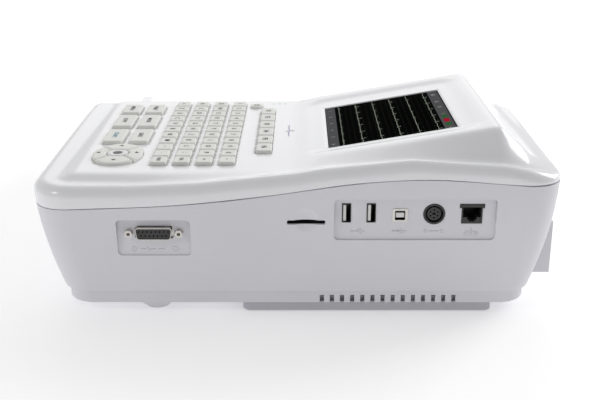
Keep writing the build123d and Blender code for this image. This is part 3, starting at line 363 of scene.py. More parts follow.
class Lettering:
    """Generic characters as flat meshes, made once each and placed in millimetres."""

    def __init__(self) -> None:
        """Start with no characters made."""
        self.made: dict[str, tuple[np.ndarray, list]] = {}

    def glyphs(self, text: str) -> tuple[np.ndarray, list]:
        """Flat mesh of a text about its middle, one unit high.

        Args:
            text: What it says.

        Returns:
            Its points (x, y) and its faces.
        """
        if text not in self.made:
            curve = bpy.data.curves.new("characters", "FONT")
            curve.body = text
            curve.align_x, curve.align_y = "CENTER", "CENTER"
            curve.resolution_u = 2
            curve.offset = 0.012
            holder = bpy.data.objects.new("characters", curve)
            mesh = bpy.data.meshes.new_from_object(holder)
            points = np.zeros(len(mesh.vertices) * 3)
            mesh.vertices.foreach_get("co", points)
            faces = [list(polygon.vertices) for polygon in mesh.polygons]
            bpy.data.objects.remove(holder)
            bpy.data.meshes.remove(mesh)
            flat = points.reshape(-1, 3)[:, :2]
            self.made[text] = (flat - (flat.min(0) + flat.max(0)) / 2, faces)
        return self.made[text]

    def place(self, labels: list[tuple[str, float, float, float]]) -> tuple[np.ndarray, list]:
        """Several labels as one flat mesh.

        Args:
            labels: Text, middle x, middle y and character size of each.

        Returns:
            The points (x, y) and the faces.
        """
        points: list[np.ndarray] = []
        faces: list[list[int]] = []
        start = 0
        for text, x, y, size in labels:
            flat, own = self.glyphs(text)
            points.append(flat * size + np.array([x, y]))
            faces += [[corner + start for corner in face] for face in own]
            start += len(flat)
        return np.concatenate(points), faces


def merged_copy(node: str, name: str, finish: Finish, body: str, sharp: float = 30.0) -> bpy.types.Object:
    """Smooth-shaded copy of a CAD node with its loose triangles joined, standing for the node.

    Args:
        node: The CAD node.
        name: Name of the copy.
        finish: Its finish.
        body: The body it rides on.
        sharp: Edges that turn by more than this many degrees stay sharp.

    Returns:
        The copy.
    """
    mesh = NODES[node].data.copy()
    mesh.name = name
    mesh.materials.clear()
    if mesh.has_custom_normals:
        mesh.attributes.remove(mesh.attributes["custom_normal"])
    joined = bmesh.new()
    joined.from_mesh(mesh)
    bmesh.ops.remove_doubles(joined, verts=joined.verts, dist=2e-6)
    joined.to_mesh(mesh)
    joined.free()
    mesh.shade_smooth()
    mesh.set_sharp_from_angle(angle=math.radians(sharp))
    mesh.materials.append(finish.material())
    piece = bpy.data.objects.new(name, mesh)
    bpy.context.scene.collection.objects.link(piece)
    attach(piece, body)
    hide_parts(node)
    LOG.info("%s: smooth copy of %s, %d faces", name, node, len(mesh.polygons))
    return piece


NODES: dict[str, bpy.types.Object] = {}


# ---------------------------------------------------------------- the case's outer form
@dataclass(frozen=True)
class CaseForm:
    """Tapering rounded box of the whole case, as a cubic through four levels of its plan."""

    levels: tuple[float, ...] = (8.0, 45.0, 88.0, 130.0)
    half_width: tuple[float, ...] = (200.5, 206.0, 210.0, 208.5)
    half_depth: tuple[float, ...] = (158.5, 170.0, 176.5, 175.0)
    bow: tuple[float, ...] = (0.5, 1.2, 2.0, 2.0)
    corner: tuple[float, ...] = (20.0, 24.0, 27.0, 27.0)

    def at(self, values: tuple[float, ...], z: np.ndarray | float, slope: bool = False) -> np.ndarray:
        """A plan size at a height: the cubic through its four values, or that cubic's slope."""
        cubic = np.polyfit(self.levels, values, 3)
        return np.polyval(np.polyder(cubic) if slope else cubic, z)

    def outline(
        self, core: np.ndarray, normal: np.ndarray, z: np.ndarray, reach: tuple[float, float]
    ) -> np.ndarray:
        """Points of the outer wall: the core point stretched to the level's plan, plus the corner radius
        along the normal, plus the bow of the front and back walls, which fades as the square of x.

        Args:
            core: Nominal core points (x, y).
            normal: Outward normals (x, y).
            z: Height of each point.
            reach: Nominal half sizes of the core.

        Returns:
            Points (x, y) on the wall.
        """
        corner = self.at(self.corner, z)
        half_x, half_y = self.at(self.half_width, z), self.at(self.half_depth, z)
        x = core[..., 0] / reach[0] * (half_x - corner) + corner * normal[..., 0]
        y = core[..., 1] / reach[1] * (half_y - corner) + corner * normal[..., 1]
        y = y + normal[..., 1] * self.at(self.bow, z) * (1.0 - (x / half_x) ** 2)
        return np.stack([x, y], -1)

    def normals(self, points: np.ndarray) -> np.ndarray:
        """Outward normals of the wall at points near it.

        The plan normal runs from the nearest core point; it leans down by the rate at which the plan
        grows with height.

        Args:
            points: Points (x, y, z) in millimetres.

        Returns:
            Unit normals.
        """
        z = points[:, 2]
        corner = self.at(self.corner, z)
        half_x, half_y = self.at(self.half_width, z), self.at(self.half_depth, z)
        core_x = np.clip(points[:, 0], corner - half_x, half_x - corner)
        core_y = np.clip(points[:, 1], corner - half_y, half_y - corner)
        out = np.stack([points[:, 0] - core_x, points[:, 1] - core_y], -1)
        out /= np.maximum(np.linalg.norm(out, axis=1, keepdims=True), 1e-6)
        growth = out[:, 0] ** 2 * self.at(self.half_width, z, True) + out[:, 1] ** 2 * self.at(
            self.half_depth, z, True
        )
        out[:, 0] += np.abs(out[:, 1]) * 2.0 * self.at(self.bow, z) * points[:, 0] / half_x**2
        normals = np.concatenate([out, -growth[:, None]], 1)
        return normals / np.maximum(np.linalg.norm(normals, axis=1, keepdims=True), 1e-9)


@dataclass(frozen=True)
class PartingLine:
    """Height at which the cover meets the case: a curve along the sides, and a slope at the recorder."""

    along: tuple[float, ...] = (-190.0, -150.0, -82.0, -19.0, 43.0, 86.0, 144.0, 190.0)
    height: tuple[float, ...] = (77.0, 78.8, 81.6, 88.4, 97.2, 99.5, 95.8, 93.5)
    left_height: float = 91.5
    left_slope: float = 0.265

    def at(self, x: np.ndarray, y: np.ndarray) -> np.ndarray:
        """Parting height: the lower of a smooth curve in y and a straight slope in x.

        The curve is a cubic between given heights with slopes taken from the neighbours on each side.

        Args:
            x: Places along the width.
            y: Places along the depth.

        Returns:
            The heights.
        """
        along, height = np.array(self.along), np.array(self.height)
        slopes = np.gradient(height, along)
        span = np.clip(np.searchsorted(along, y) - 1, 0, len(along) - 2)
        length = along[span + 1] - along[span]
        part = (y - along[span]) / length
        curve = (
            (1 + 2 * part) * (1 - part) ** 2 * height[span]
            + part * (1 - part) ** 2 * length * slopes[span]
            + part**2 * (3 - 2 * part) * height[span + 1]
            - part**2 * (1 - part) * length * slopes[span + 1]
        )
        return np.minimum(curve, self.left_height + self.left_slope * x)


# ---------------------------------------------------------------- key layout
@dataclass(frozen=True)
class KeyLayout:
    """Where the keys stand on the panel, in millimetres."""

    letter_pitch: tuple[float, float] = (15.52, 15.7)
    letter_size: tuple[float, float] = (13.2, 10.8)
    letter_start: tuple[float, float] = (165.0, -95.0)
    letter_columns: int = 11
    letter_rows: int = 4
    soft_pitch: float = 20.5
    soft_size: tuple[float, float] = (18.2, 11.2)
    soft_start: tuple[float, float] = (135.5, -23.3)
    soft_count: int = 6
    function_x: tuple[tuple[float, float], ...] = ((104.4, 32.8), (62.5, 32.8), (25.3, 25.6))
    function_y: tuple[tuple[float, float], ...] = ((-135.6, 14.6), (-116.6, 14.0))
    pad_centre: tuple[float, float] = (149.0, -126.1)
    pad_radii: tuple[float, float] = (23.4, 17.6)
    power_centre: tuple[float, float] = (12.7, -33.6)
    power_radius: float = 5.5
    lamp_x: float = 2.0
    lamp_ys: tuple[float, ...] = (-20.0, -15.0, -10.0)
    lamp_radius: float = 1.2
    gap: float = 0.35
    top: float = 100.0
    flange: float = 95.0

    def letters_x(self) -> np.ndarray:
        """Middle of each letter key, from the operator's left to right."""
        return self.letter_start[0] - self.letter_pitch[0] * np.arange(self.letter_columns)[::-1]

    def letters_y(self) -> np.ndarray:
        """Middle of each letter row, front row first."""
        return self.letter_start[1] + self.letter_pitch[1] * np.arange(self.letter_rows)

    def softs_x(self) -> np.ndarray:
        """Middle of each soft key, nearest the right side first."""
        return self.soft_start[0] - self.soft_pitch * np.arange(self.soft_count)

    def functions(self) -> list[tuple[float, float, float, float]]:
        """Middle x, middle y, size x and size y of each function key, in the order of their numbers."""
        return [(x, y, wide, deep) for y, deep in self.function_y for x, wide in self.function_x]

    def holes(self) -> list[tuple[float, float, float, float]]:
        """Lowest and highest x, then lowest and highest y, of every rectangular key hole."""
        rectangles = [(x, y, *self.letter_size) for x in self.letters_x() for y in self.letters_y()]
        rectangles += [(x, self.soft_start[1], *self.soft_size) for x in self.softs_x()]
        rectangles += self.functions()
        return [
            (
                x - wide / 2 - self.gap,
                x + wide / 2 + self.gap,
                y - deep / 2 - self.gap,
                y + deep / 2 + self.gap,
            )
            for x, y, wide, deep in rectangles
        ]


# ---------------------------------------------------------------- top cover
@dataclass
class TopCover:
    """The white cover as one shell: a height map over the plan, a rounded shoulder and a skirt.

    Sections give, front to back: y, panel or hood height, x of its near edge, x and height of the valley
    beside it, height of the rim, and how much lower the far edge lies.
    """

    form: CaseForm
    parting: PartingLine
    keys: KeyLayout
    sections: tuple[tuple[float, ...], ...] = (
        (-172.0, 91.0, 185.0, 196.0, 90.6, 91.3, 0.0),
        (-165.0, 91.0, 185.0, 196.0, 90.6, 91.3, 0.0),
        (-150.0, 97.5, 189.0, 199.0, 91.6, 92.0, 0.0),
        (-65.0, 97.5, 189.0, 199.0, 95.6, 96.0, 0.0),
        (0.0, 97.9, 184.0, 193.0, 99.0, 103.0, 0.0),
        (18.0, 104.4, 172.0, 190.0, 102.6, 106.0, 0.0),
        (76.0, 114.43, 172.0, 194.0, 107.4, 112.2, 0.0),
        (138.0, 125.15, 172.0, 197.0, 105.0, 108.2, 0.0),
        (163.0, 103.0, 172.0, 196.0, 101.8, 102.6, 4.5),
        (172.0, 100.6, 172.0, 196.0, 99.8, 100.6, 5.6),
    )
    rim_x: float = 203.0
    panel_far: float = -10.0
    hood_far: float = 1.0
    recorder_edge: float = -16.0
    recorder_top: float = 98.0
    recorder_slope: float = 0.255
    opening: tuple[float, float, float, float] = (-203.0, -17.0, -131.2, 131.2)
    screen: tuple[float, float, float, float] = (39.0, 150.5, 22.5, 113.0)
    tray: tuple[float, float, float, float] = (13.0, 163.0, 8.0, 129.0)
    tray_corner: float = 14.0
    tray_depth: float = 1.7
    tray_slope: float = 7.0
    latch: tuple[float, float, float, float] = (-112.5, -103.5, -151.5, -142.5)
    left_wall: float = 205.3
    left_corner: float = 23.6
    right_wall: float = 210.0
    depth_wall: float = 176.5
    corner: float = 27.0
    shoulder_reach: float = 7.5
    shoulder_fall: float = 8.0
    softness: float = 2.0
    gap: float = 0.6
    wall: float = 2.5
    step: float = 3.0
    skirt_rows: int = 9
    points: np.ndarray = field(default_factory=lambda: np.zeros((0, 3)))

    def raw_height(self, x: np.ndarray, y: np.ndarray) -> np.ndarray:
        """Unsoftened height of the top: straight runs between the section points, joined to the recorder.

        Args:
            x: Places along the width.
            y: Places along the depth.

        Returns:
            The heights.
        """
        table = np.array(self.sections)
        top, near, valley_x, valley_z, rim, far_fall = (
            np.interp(y, table[:, 0], table[:, k]) for k in range(1, 7)
        )
        fall = np.clip((x - near) / (valley_x - near), 0.0, 1.0)
        climb = np.clip((x - valley_x) / (self.rim_x - valley_x), 0.0, 1.0)
        ridge = top - far_fall * np.clip((near - x) / (near - self.hood_far), 0.0, 1.0)
        right = ridge + (valley_z - ridge) * fall + (rim - valley_z) * climb
        turn = np.clip((y + 5.0) / 26.0, 0.0, 1.0)
        far = self.panel_far + (self.hood_far - self.panel_far) * turn * turn * (3.0 - 2.0 * turn)
        recorder = self.recorder_top + self.recorder_slope * np.minimum(x, self.recorder_edge)
        right = right - self.screen_step(x, y)
        down = np.clip((far - x) / (far - self.recorder_edge), 0.0, 1.0)
        right = right + (np.minimum(top, recorder) - 2.0 - right) * down
        return np.where(
            x <= self.recorder_edge, recorder, np.maximum(right, np.minimum(recorder, right + 9.0))
        )

    def screen_step(self, x: np.ndarray, y: np.ndarray) -> np.ndarray:
        """Depth of the shallow tray round the screen: full inside a rounded rectangle, none outside it.

        Args:
            x: Places along the width.
            y: Places along the depth.

        Returns:
            How far the surface lies below the hood's plane.
        """
        low_x, high_x, low_y, high_y = self.tray
        out_x = np.abs(x - (low_x + high_x) / 2) - (high_x - low_x) / 2 + self.tray_corner
        out_y = np.abs(y - (low_y + high_y) / 2) - (high_y - low_y) / 2 + self.tray_corner
        outside = np.hypot(np.maximum(out_x, 0.0), np.maximum(out_y, 0.0)) - self.tray_corner
        return self.tray_depth * np.clip(-outside / self.tray_slope, 0.0, 1.0)

    def height(self, x: np.ndarray, y: np.ndarray) -> np.ndarray:
        """Softened height: the mean of the raw height over a small bell-shaped patch.

        Args:
            x: Places along the width.
            y: Places along the depth.

        Returns:
            The heights.
        """
        offsets = np.linspace(-2.0, 2.0, 7)
        weights = np.exp(-(offsets**2) / 2.0)
        weights /= weights.sum()
        total = np.zeros_like(x)
        for along, weight_x in zip(offsets * self.softness, weights):
            for across, weight_y in zip(offsets * self.softness, weights):
                total += weight_x * weight_y * self.raw_height(x + along, y + across)
        return total

    def shoulder(self, distance: np.ndarray, room: np.ndarray) -> np.ndarray:
        """Fall of the rounded shoulder: a quarter ellipse from the crest to the wall.

        Args:
            distance: Distance in from the wall.
            room: Height of the crest above the skirt's lower edge, which the fall doesn't pass.

        Returns:
            How far the surface lies below the crest.
        """
        inward = 1.0 - np.clip(distance / self.shoulder_reach, 0.0, 1.0)
        return np.minimum(self.shoulder_fall, room - 0.8) * (1.0 - np.sqrt(np.maximum(0.0, 1.0 - inward**2)))

    def lines(self, low: float, high: float, marks: list[float]) -> np.ndarray:
        """Grid lines from low to high through every mark, with even steps between them.

        Args:
            low: First line.
            high: Last line.
            marks: Lines that have to be there.

        Returns:
            The lines in order.
        """
        bands = (0.0, 0.1, 0.4, 0.9, 1.6, 2.6, 4.0, 5.6, 7.5, 10.0, 13.0)
        edge = [low + band for band in bands] + [high - band for band in bands]
        stops = np.unique(np.round(np.array(edge + marks), 4))
        runs = [
            np.linspace(start, end, max(1, math.ceil((end - start) / self.step)), endpoint=False)
            for start, end in zip(stops[:-1], stops[1:])
        ]
        return np.concatenate([*runs, [high]])

    def build(self) -> bpy.types.Object:
        """Make the shell with its openings.

        Returns:
            The cover.
        """
        keys = self.keys
        pad_x, pad_y = keys.pad_centre
        pad_hole = (pad_x - 25.5, pad_x + 25.5, pad_y - 19.5, pad_y + 19.5)
        power_x, power_y = keys.power_centre
        power_hole = (power_x - 7.5, power_x + 7.5, power_y - 7.5, power_y + 7.5)
        lamp_holes = [(keys.lamp_x - 2, keys.lamp_x + 2, y - 2, y + 2) for y in keys.lamp_ys]
        round_holes = [
            (pad_hole, (pad_x, pad_y), (keys.pad_radii[0] + keys.gap, keys.pad_radii[1] + keys.gap))
        ]
        round_holes += [(power_hole, keys.power_centre, (keys.power_radius + keys.gap,) * 2)]
        round_holes += [
            (hole, (keys.lamp_x, y), (keys.lamp_radius + 0.05,) * 2)
            for hole, y in zip(lamp_holes, keys.lamp_ys)
        ]
        plain = keys.holes() + [self.opening, self.screen, self.latch]
        every = plain + [hole for hole, centre, radii in round_holes]
        extra_x = [keys.lamp_x - 1, keys.lamp_x, keys.lamp_x + 1]
        extra_y = [y + shift for y in keys.lamp_ys for shift in (-1, 0, 1)]
        xs = self.lines(-self.left_wall, self.right_wall, [v for hole in every for v in hole[:2]] + extra_x)
        ys = self.lines(-self.depth_wall, self.depth_wall, [v for hole in every for v in hole[2:]] + extra_y)
        points, core, normal, reach = self._plan(xs, ys)
        rows, columns = len(ys), len(xs)

        ring = perimeter(rows, columns)
        top_ring = points.reshape(-1, 3)[ring]
        ring_core, ring_normal = core.reshape(-1, 2)[ring], normal.reshape(-1, 2)[ring]
        bottom = self.parting.at(top_ring[:, 0], top_ring[:, 1]) + self.gap
        part = np.linspace(0.0, 1.0, self.skirt_rows)[1:, None]
        heights = top_ring[:, 2] + (bottom - top_ring[:, 2]) * part
        start = self.form.outline(ring_core, ring_normal, top_ring[:, 2], reach)
        skirt_xy = top_ring[:, :2] + self.form.outline(ring_core, ring_normal, heights, reach) - start
        skirt = np.concatenate([skirt_xy, heights[..., None]], -1)

        faces = grid_faces(rows, columns)
        middle_x, middle_y = (xs[:-1] + xs[1:]) / 2, (ys[:-1] + ys[1:]) / 2
        keep = np.ones((rows - 1, columns - 1), bool)
        for x0, x1, y0, y1 in every:
            inside_x = (middle_x > x0) & (middle_x < x1)
            inside_y = (middle_y > y0) & (middle_y < y1)
            keep &= ~(inside_y[:, None] & inside_x[None, :])
        faces = faces[keep.reshape(-1)]

        count = rows * columns
        around = len(ring)
        below = np.arange(skirt.size // 3).reshape(-1, around) + count
        stack = np.concatenate([ring[None], below])
        wall_faces = stack.reshape(-1)[grid_faces(len(stack), around, True)][:, ::-1]
        all_points = [points.reshape(-1, 3), skirt.reshape(-1, 3)]
        all_faces = [faces, wall_faces]
        total = count + skirt.size // 3
        for hole, centre, radii in round_holes:
            ring_points, ring_faces = self._round_hole(points, xs, ys, hole, centre, radii, total)
            all_points.append(ring_points)
            all_faces.append(ring_faces)
            total += len(ring_points)
        cover = make_piece(
            "cover_shell", np.concatenate(all_points), np.concatenate(all_faces), COVER_GLOSS, sharp=38.0
        )
        self._tidy(cover)
        shell = cover.modifiers.new("wall", "SOLIDIFY")
        shell.thickness = self.wall * MM
        shell.offset = -1.0
        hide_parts("top_cover")
        return cover

    def _plan(
        self, xs: np.ndarray, ys: np.ndarray
    ) -> tuple[np.ndarray, np.ndarray, np.ndarray, tuple[float, float]]:
        """Grid points of the top.

        Each nominal point is a core point plus a share of the corner radius along a normal that turns
        evenly round each corner; its height is the softened height less the shoulder's fall; the band
        beyond the openings is then drawn out to the wall of the case at that height.

        Args:
            xs: Nominal columns.
            ys: Nominal rows.

        Returns:
            Points, core points, normals and the nominal half sizes of the core.
        """
        x, y = np.meshgrid(xs, ys)
        right = x > 0
        core_half = np.where(right, self.right_wall - self.corner, self.left_wall - self.left_corner)
        radius = np.where(right, self.corner, self.left_corner)
        over_x = np.clip((np.abs(x) - core_half) / radius, 0.0, 1.0)
        over_y = np.clip((np.abs(y) - (self.depth_wall - self.corner)) / self.corner, 0.0, 1.0)
        share = np.maximum(over_x, over_y)
        ratio = np.minimum(over_x, over_y) / np.maximum(share, 1e-9)
        turn = np.where(over_x >= over_y, ratio, 2.0 - ratio) * math.pi / 4
        normal = np.stack([np.cos(turn) * np.sign(x), np.sin(turn) * np.sign(y)], -1)
        core = np.stack(
            [
                np.clip(x, -core_half, core_half),
                np.clip(y, self.corner - self.depth_wall, self.depth_wall - self.corner),
            ],
            -1,
        )
        nominal = core + share[..., None] * normal * np.stack([radius, np.full_like(radius, self.corner)], -1)
        distance = (1.0 - share) * radius
        reach = (self.right_wall - self.corner, self.depth_wall - self.corner)
        spread = core.copy()
        spread[..., 0] *= reach[0] / core_half
        fade_y = np.clip((np.abs(y) - self.opening[3]) / (self.depth_wall - self.opening[3]), 0.0, 1.0) ** 2
        placed = nominal
        for _ in range(3):
            crest = self.height(placed[..., 0], placed[..., 1])
            z = crest - self.shoulder(
                distance, crest - self.parting.at(placed[..., 0], placed[..., 1]) - self.gap
            )
            full = core + normal * np.stack([radius, np.full_like(radius, self.corner)], -1)
            shift = self.form.outline(spread, normal, z, reach) - full
            placed = nominal + shift * np.stack([over_x**2, fade_y], -1)
        return np.concatenate([placed, z[..., None]], -1), spread, normal, reach

    def _round_hole(
        self,
        points: np.ndarray,
        xs: np.ndarray,
        ys: np.ndarray,
        hole: tuple[float, ...],
        centre: tuple[float, float],
        radii: tuple[float, float],
        start: int,
    ) -> tuple[np.ndarray, np.ndarray]:
        """Fill a rectangular gap of the grid with rings that lead to an elliptical edge.

        Each ring point lies between a point of the gap's border and the ellipse's point at the same angle.

        Args:
            points: Grid points of the top.
            xs: Nominal columns.
            ys: Nominal rows.
            hole: The gap's lowest and highest x and y.
            centre: Middle of the ellipse.
            radii: Its half sizes.
            start: Number that the first new point gets.

        Returns:
            The new points and the faces, which also use the border's grid points.
        """
        column = np.flatnonzero((xs > hole[0] - 1e-3) & (xs < hole[1] + 1e-3))
        row = np.flatnonzero((ys > hole[2] - 1e-3) & (ys < hole[3] + 1e-3))
        numbers = (row[:, None] * len(xs) + column[None, :]).reshape(-1)
        border = numbers[perimeter(len(row), len(column))]
        outer = points.reshape(-1, 3)[border]
        away = (outer[:, :2] - np.array(centre)) / np.array(radii)
        inner = np.array(centre) + away / np.linalg.norm(away, axis=1, keepdims=True) * np.array(radii)
        part = np.array([0.35, 0.7, 1.0])[:, None, None]
        flat = outer[None, :, :2] * (1 - part) + inner[None] * part
        height = self.height(flat[..., 0], flat[..., 1])
        rings = np.concatenate([flat, height[..., None]], -1)
        stack = np.concatenate([border[None], np.arange(rings.size // 3).reshape(3, -1) + start])
        return rings.reshape(-1, 3), stack.reshape(-1)[grid_faces(4, len(border), True)]

    @staticmethod
    def _tidy(piece: bpy.types.Object) -> None:
        """Drop the grid points inside the openings, which no face uses."""
        work = bmesh.new()
        work.from_mesh(piece.data)
        loose = [vertex for vertex in work.verts if not vertex.link_faces]
        bmesh.ops.delete(work, geom=loose, context="VERTS")
        work.to_mesh(piece.data)
        work.free()
        piece.data.shade_smooth()
        piece.data.set_sharp_from_angle(angle=math.radians(38.0))


# ---------------------------------------------------------------- keys
@dataclass
class Keyboard:
    """All the key caps with their printing."""

    keys: KeyLayout
    lettering: Lettering
    corner: float = 1.6
    edge: float = 0.9
    dish: float = 0.18
    letter_mark: float = 5.4
    word_mark: float = 4.6
    row_texts: tuple[tuple[str, ...], ...] = (
        ("^", "Z", "X", "C", "V", "B", "N", "M", ",", ".", "END"),
        ("A", "S", "D", "F", "G", "H", "J", "K", "L", ";", "DEL"),
        ("Q", "W", "E", "R", "T", "Y", "U", "I", "O", "P", "+"),
        ("1", "2", "3", "4", "5", "6", "7", "8", "9", "0", "-"),
    )
    function_texts: tuple[str, ...] = ("START", "COPY", "MENU", "LEAD", "MODE", "RESET")

    def cap(self, wide: float, deep: float) -> tuple[np.ndarray, list]:
        """One cap about the origin in plan: straight sides, a quarter-round edge and a shallow dish.

        Rings step in along the outline's normals round the edge, then shrink to the middle, where the
        height is the top less the dish times one minus the squared share of the way out.

        Args:
            wide: Size along X.
            deep: Size along Y.

        Returns:
            The points and the faces.
        """
        outline, normals = rounded_outline(wide / 2, deep / 2, self.corner)
        turn = np.linspace(0.0, math.pi / 2, 5)
        inset = np.concatenate([[0.0, 0.0], self.edge * (1 - np.cos(turn[1:]))])
        drop = self.edge * (1 - np.sin(turn[1:]))
        level = np.concatenate([[self.keys.flange, self.keys.top - self.edge], self.keys.top - drop])
        rings = outline[None] - inset[:, None, None] * normals[None]
        sides = np.concatenate([rings, np.broadcast_to(level[:, None, None], (*rings.shape[:2], 1))], -1)
        share = np.array([0.85, 0.6, 0.3])[:, None, None]
        inner = rings[-1][None] * share
        dished = self.keys.top - self.dish * (1.0 - share**2)
        tops = np.concatenate([inner, np.broadcast_to(dished, (3, inner.shape[1], 1))], -1)
        return capped_rings(np.concatenate([sides, tops]))

    def caps(
        self, name: str, body: str, node: str, places: list[tuple[float, float]], size: tuple[float, float]
    ) -> None:
        """A piece of one or more equal caps, standing for their CAD node.

        Args:
            name: Name of the piece.
            body: The body it rides on.
            node: The CAD node it replaces.
            places: Middle of each cap.
            size: Size of a cap.
        """
        points, faces = self.cap(*size)
        spots = np.array([(x, y, 0.0) for x, y in places])
        piece = make_piece(name, *repeated(points, faces, spots), KEY_IVORY, body, sharp=50.0)
        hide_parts(node)

    def printing(
        self, name: str, body: str, labels: list[tuple[str, float, float, float]], finish: Finish
    ) -> None:
        """Printed marks a hair above the caps.

        Args:
            name: Name of the piece.
            body: The body it rides on.
            labels: Text, middle x, middle y and size of each mark.
            finish: Ink.
        """
        flat, faces = self.lettering.place(labels)
        points = np.concatenate([flat, np.full((len(flat), 1), self.keys.top + 0.03)], 1)
        make_piece(name, points, faces, finish, body)

    def build(self) -> None:
        """Make the letter, soft and function keys."""
        keys = self.keys
        for number, y in enumerate(keys.letters_y(), start=1):
            body = f"letter_keys_{number}"
            places = [(x, y) for x in keys.letters_x()]
            self.caps(f"letter_caps_{number}", body, f"letter_keys_row_{number}", places, keys.letter_size)
            marks = [
                (text, x, y, self.letter_mark if len(text) == 1 else 3.6)
                for text, x in zip(self.row_texts[number - 1], keys.letters_x())
            ]
            self.printing(f"letter_marks_{number}", body, marks, INK_DARK)
        for number, x in enumerate(keys.softs_x(), start=1):
            place = (x, keys.soft_start[1])
            self.caps(f"soft_cap_{number}", f"soft_{number}", f"soft_key_{number}", [place], keys.soft_size)
            label = (f"F{7 - number}", x, place[1], 5.6)
            self.printing(f"soft_mark_{number}", f"soft_{number}", [label], INK_DARK)
        for number, (x, y, wide, deep) in enumerate(keys.functions(), start=1):
            body = f"function_{number}"
            self.caps(f"function_cap_{number}", body, f"function_key_{number}", [(x, y)], (wide, deep))
            ink = INK_BLUE if number == 1 else INK_DARK
            self.printing(
                f"function_mark_{number}",
                body,
                [(self.function_texts[number - 1], x, y, self.word_mark)],
                ink,
            )


@dataclass
class DirectionPad:
    """Oval pad of four lobes round a centre key with a dark dot."""

    keys: KeyLayout
    hub: float = 8.4
    diagonal: float = 40.0
    gap: float = 0.85
    edge: float = 1.3
    crown: float = 0.5
    enter_radius: float = 7.3
    dot_radius: float = 3.4
    lobes: tuple[tuple[float, str, str], ...] = (
        (0.0, "pad_near", "pad_key_near"),
        (90.0, "pad_back", "pad_key_back"),
        (180.0, "pad_far", "pad_key_far"),
        (270.0, "pad_front", "pad_key_front"),
    )

    def rim(self, angle: np.ndarray) -> np.ndarray:
        """Distance from the pad's middle to its oval edge along an angle."""
        wide, deep = self.keys.pad_radii
        return 1.0 / np.sqrt((np.cos(angle) / wide) ** 2 + (np.sin(angle) / deep) ** 2)

    def lobe(self, direction: float) -> tuple[np.ndarray, np.ndarray]:
        """One lobe as a patch over angle and radius with a skirt.

        A point lies between the hub and the oval edge, at an angle within the diagonals less a gap of even
        width; its height is the top less a quarter-round edge worked out from its distance to the nearest
        side, and the lobe falls slightly from the middle outwards.

        Args:
            direction: Angle of the lobe's middle in degrees.

        Returns:
            The points and the faces.
        """
        shares = np.array([0.0, 0.03, 0.08, 0.16, 0.3, 0.5, 0.7, 0.84, 0.92, 0.97, 1.0])
        along = np.concatenate([[0.0, 0.015, 0.045], np.linspace(0.09, 0.91, 17), [0.955, 0.985, 1.0]])
        outwards, turn = np.meshgrid(shares, along * 2.0 - 1.0, indexing="ij")
        half = math.radians(self.diagonal if direction in (0.0, 180.0) else 90.0 - self.diagonal)
        middle = math.radians(direction)
        radius = self.hub + (self.rim(middle + turn * half) - self.hub) * outwards
        angle = middle + turn * (half - np.arcsin(self.gap / radius))
        radius = self.hub + (self.rim(angle) - self.hub) * outwards
        x = self.keys.pad_centre[0] + radius * np.cos(angle)
        y = self.keys.pad_centre[1] + radius * np.sin(angle)
        to_edge = np.minimum(radius - self.hub, self.rim(angle) - radius)
        to_gap = radius * half * (1.0 - np.abs(turn))
        inward = 1.0 - np.clip(np.minimum(to_edge, to_gap) / self.edge, 0.0, 1.0)
        fall = self.edge * 0.6 * (1.0 - np.sqrt(np.maximum(0.0, 1.0 - inward**2)))
        z = self.keys.top - fall - self.crown * outwards**2
        patch = np.stack([x, y, z], -1)[:, ::-1]
        rows, columns = z.shape
        ring = perimeter(rows, columns)
        lower = patch.reshape(-1, 3)[ring].copy()
        lower[:, 2] = self.keys.flange
        stack = np.stack([ring, np.arange(len(ring)) + z.size])
        skirt = stack.reshape(-1)[grid_faces(2, len(ring), True)]
        points = np.concatenate([patch.reshape(-1, 3), lower])
        return points, np.concatenate([grid_faces(rows, columns), skirt[:, ::-1]])

    def arrow(self, direction: float) -> tuple[np.ndarray, list]:
        """Small triangle pointing outwards on a lobe.

        Args:
            direction: Angle of the lobe's middle in degrees.

        Returns:
            The points (x, y) and the face.
        """
        angle = math.radians(direction)
        reach = float(self.hub + (self.rim(np.array(angle)) - self.hub) * 0.56)
        out = np.array([math.cos(angle), math.sin(angle)])
        aside = np.array([-out[1], out[0]])
        tip, base, half_width = 1.7, -1.1, 1.9
        corners = [
            out * (reach + tip),
            out * (reach + base) + aside * half_width,
            out * (reach + base) - aside * half_width,
        ]
        return np.array(corners) + np.array(self.keys.pad_centre), [[0, 1, 2]]

    def build(self) -> None:
        """Make the lobes, their arrows, the centre key and its dot."""
        for direction, body, node in self.lobes:
            points, faces = self.lobe(direction)
            piece = make_piece(f"{body}_cap", points, faces, KEY_IVORY, body, sharp=50.0)
            recalculate(piece)
            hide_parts(node)
            flat, marks = self.arrow(direction)
            raised = np.concatenate([flat, np.full((len(flat), 1), self.keys.top - 0.05)], 1)
            make_piece(f"{body}_arrow", raised, marks, INK_DARK, body)
        centre = np.array([*self.keys.pad_centre, 0.0])
        profile = [(self.enter_radius, 94.9), (self.enter_radius, 99.3), (self.enter_radius - 0.3, 99.75)]
        profile += [(self.enter_radius - 0.9, 99.95), (self.dot_radius + 0.3, 99.9), (self.dot_radius, 99.75)]
        points, faces = capped_rings(turned(profile) + centre)
        piece = make_piece("enter_cap", points, faces, KEY_WHITE, "enter", sharp=50.0)
        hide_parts("enter_key")
        dot = [
            (self.dot_radius, 99.7),
            (self.dot_radius, 99.85),
            (self.dot_radius - 0.4, 99.95),
            (0.6, 100.0),
        ]
        make_piece("enter_dot", *capped_rings(turned(dot) + centre), SOCKET_BLACK, "enter", sharp=50.0)


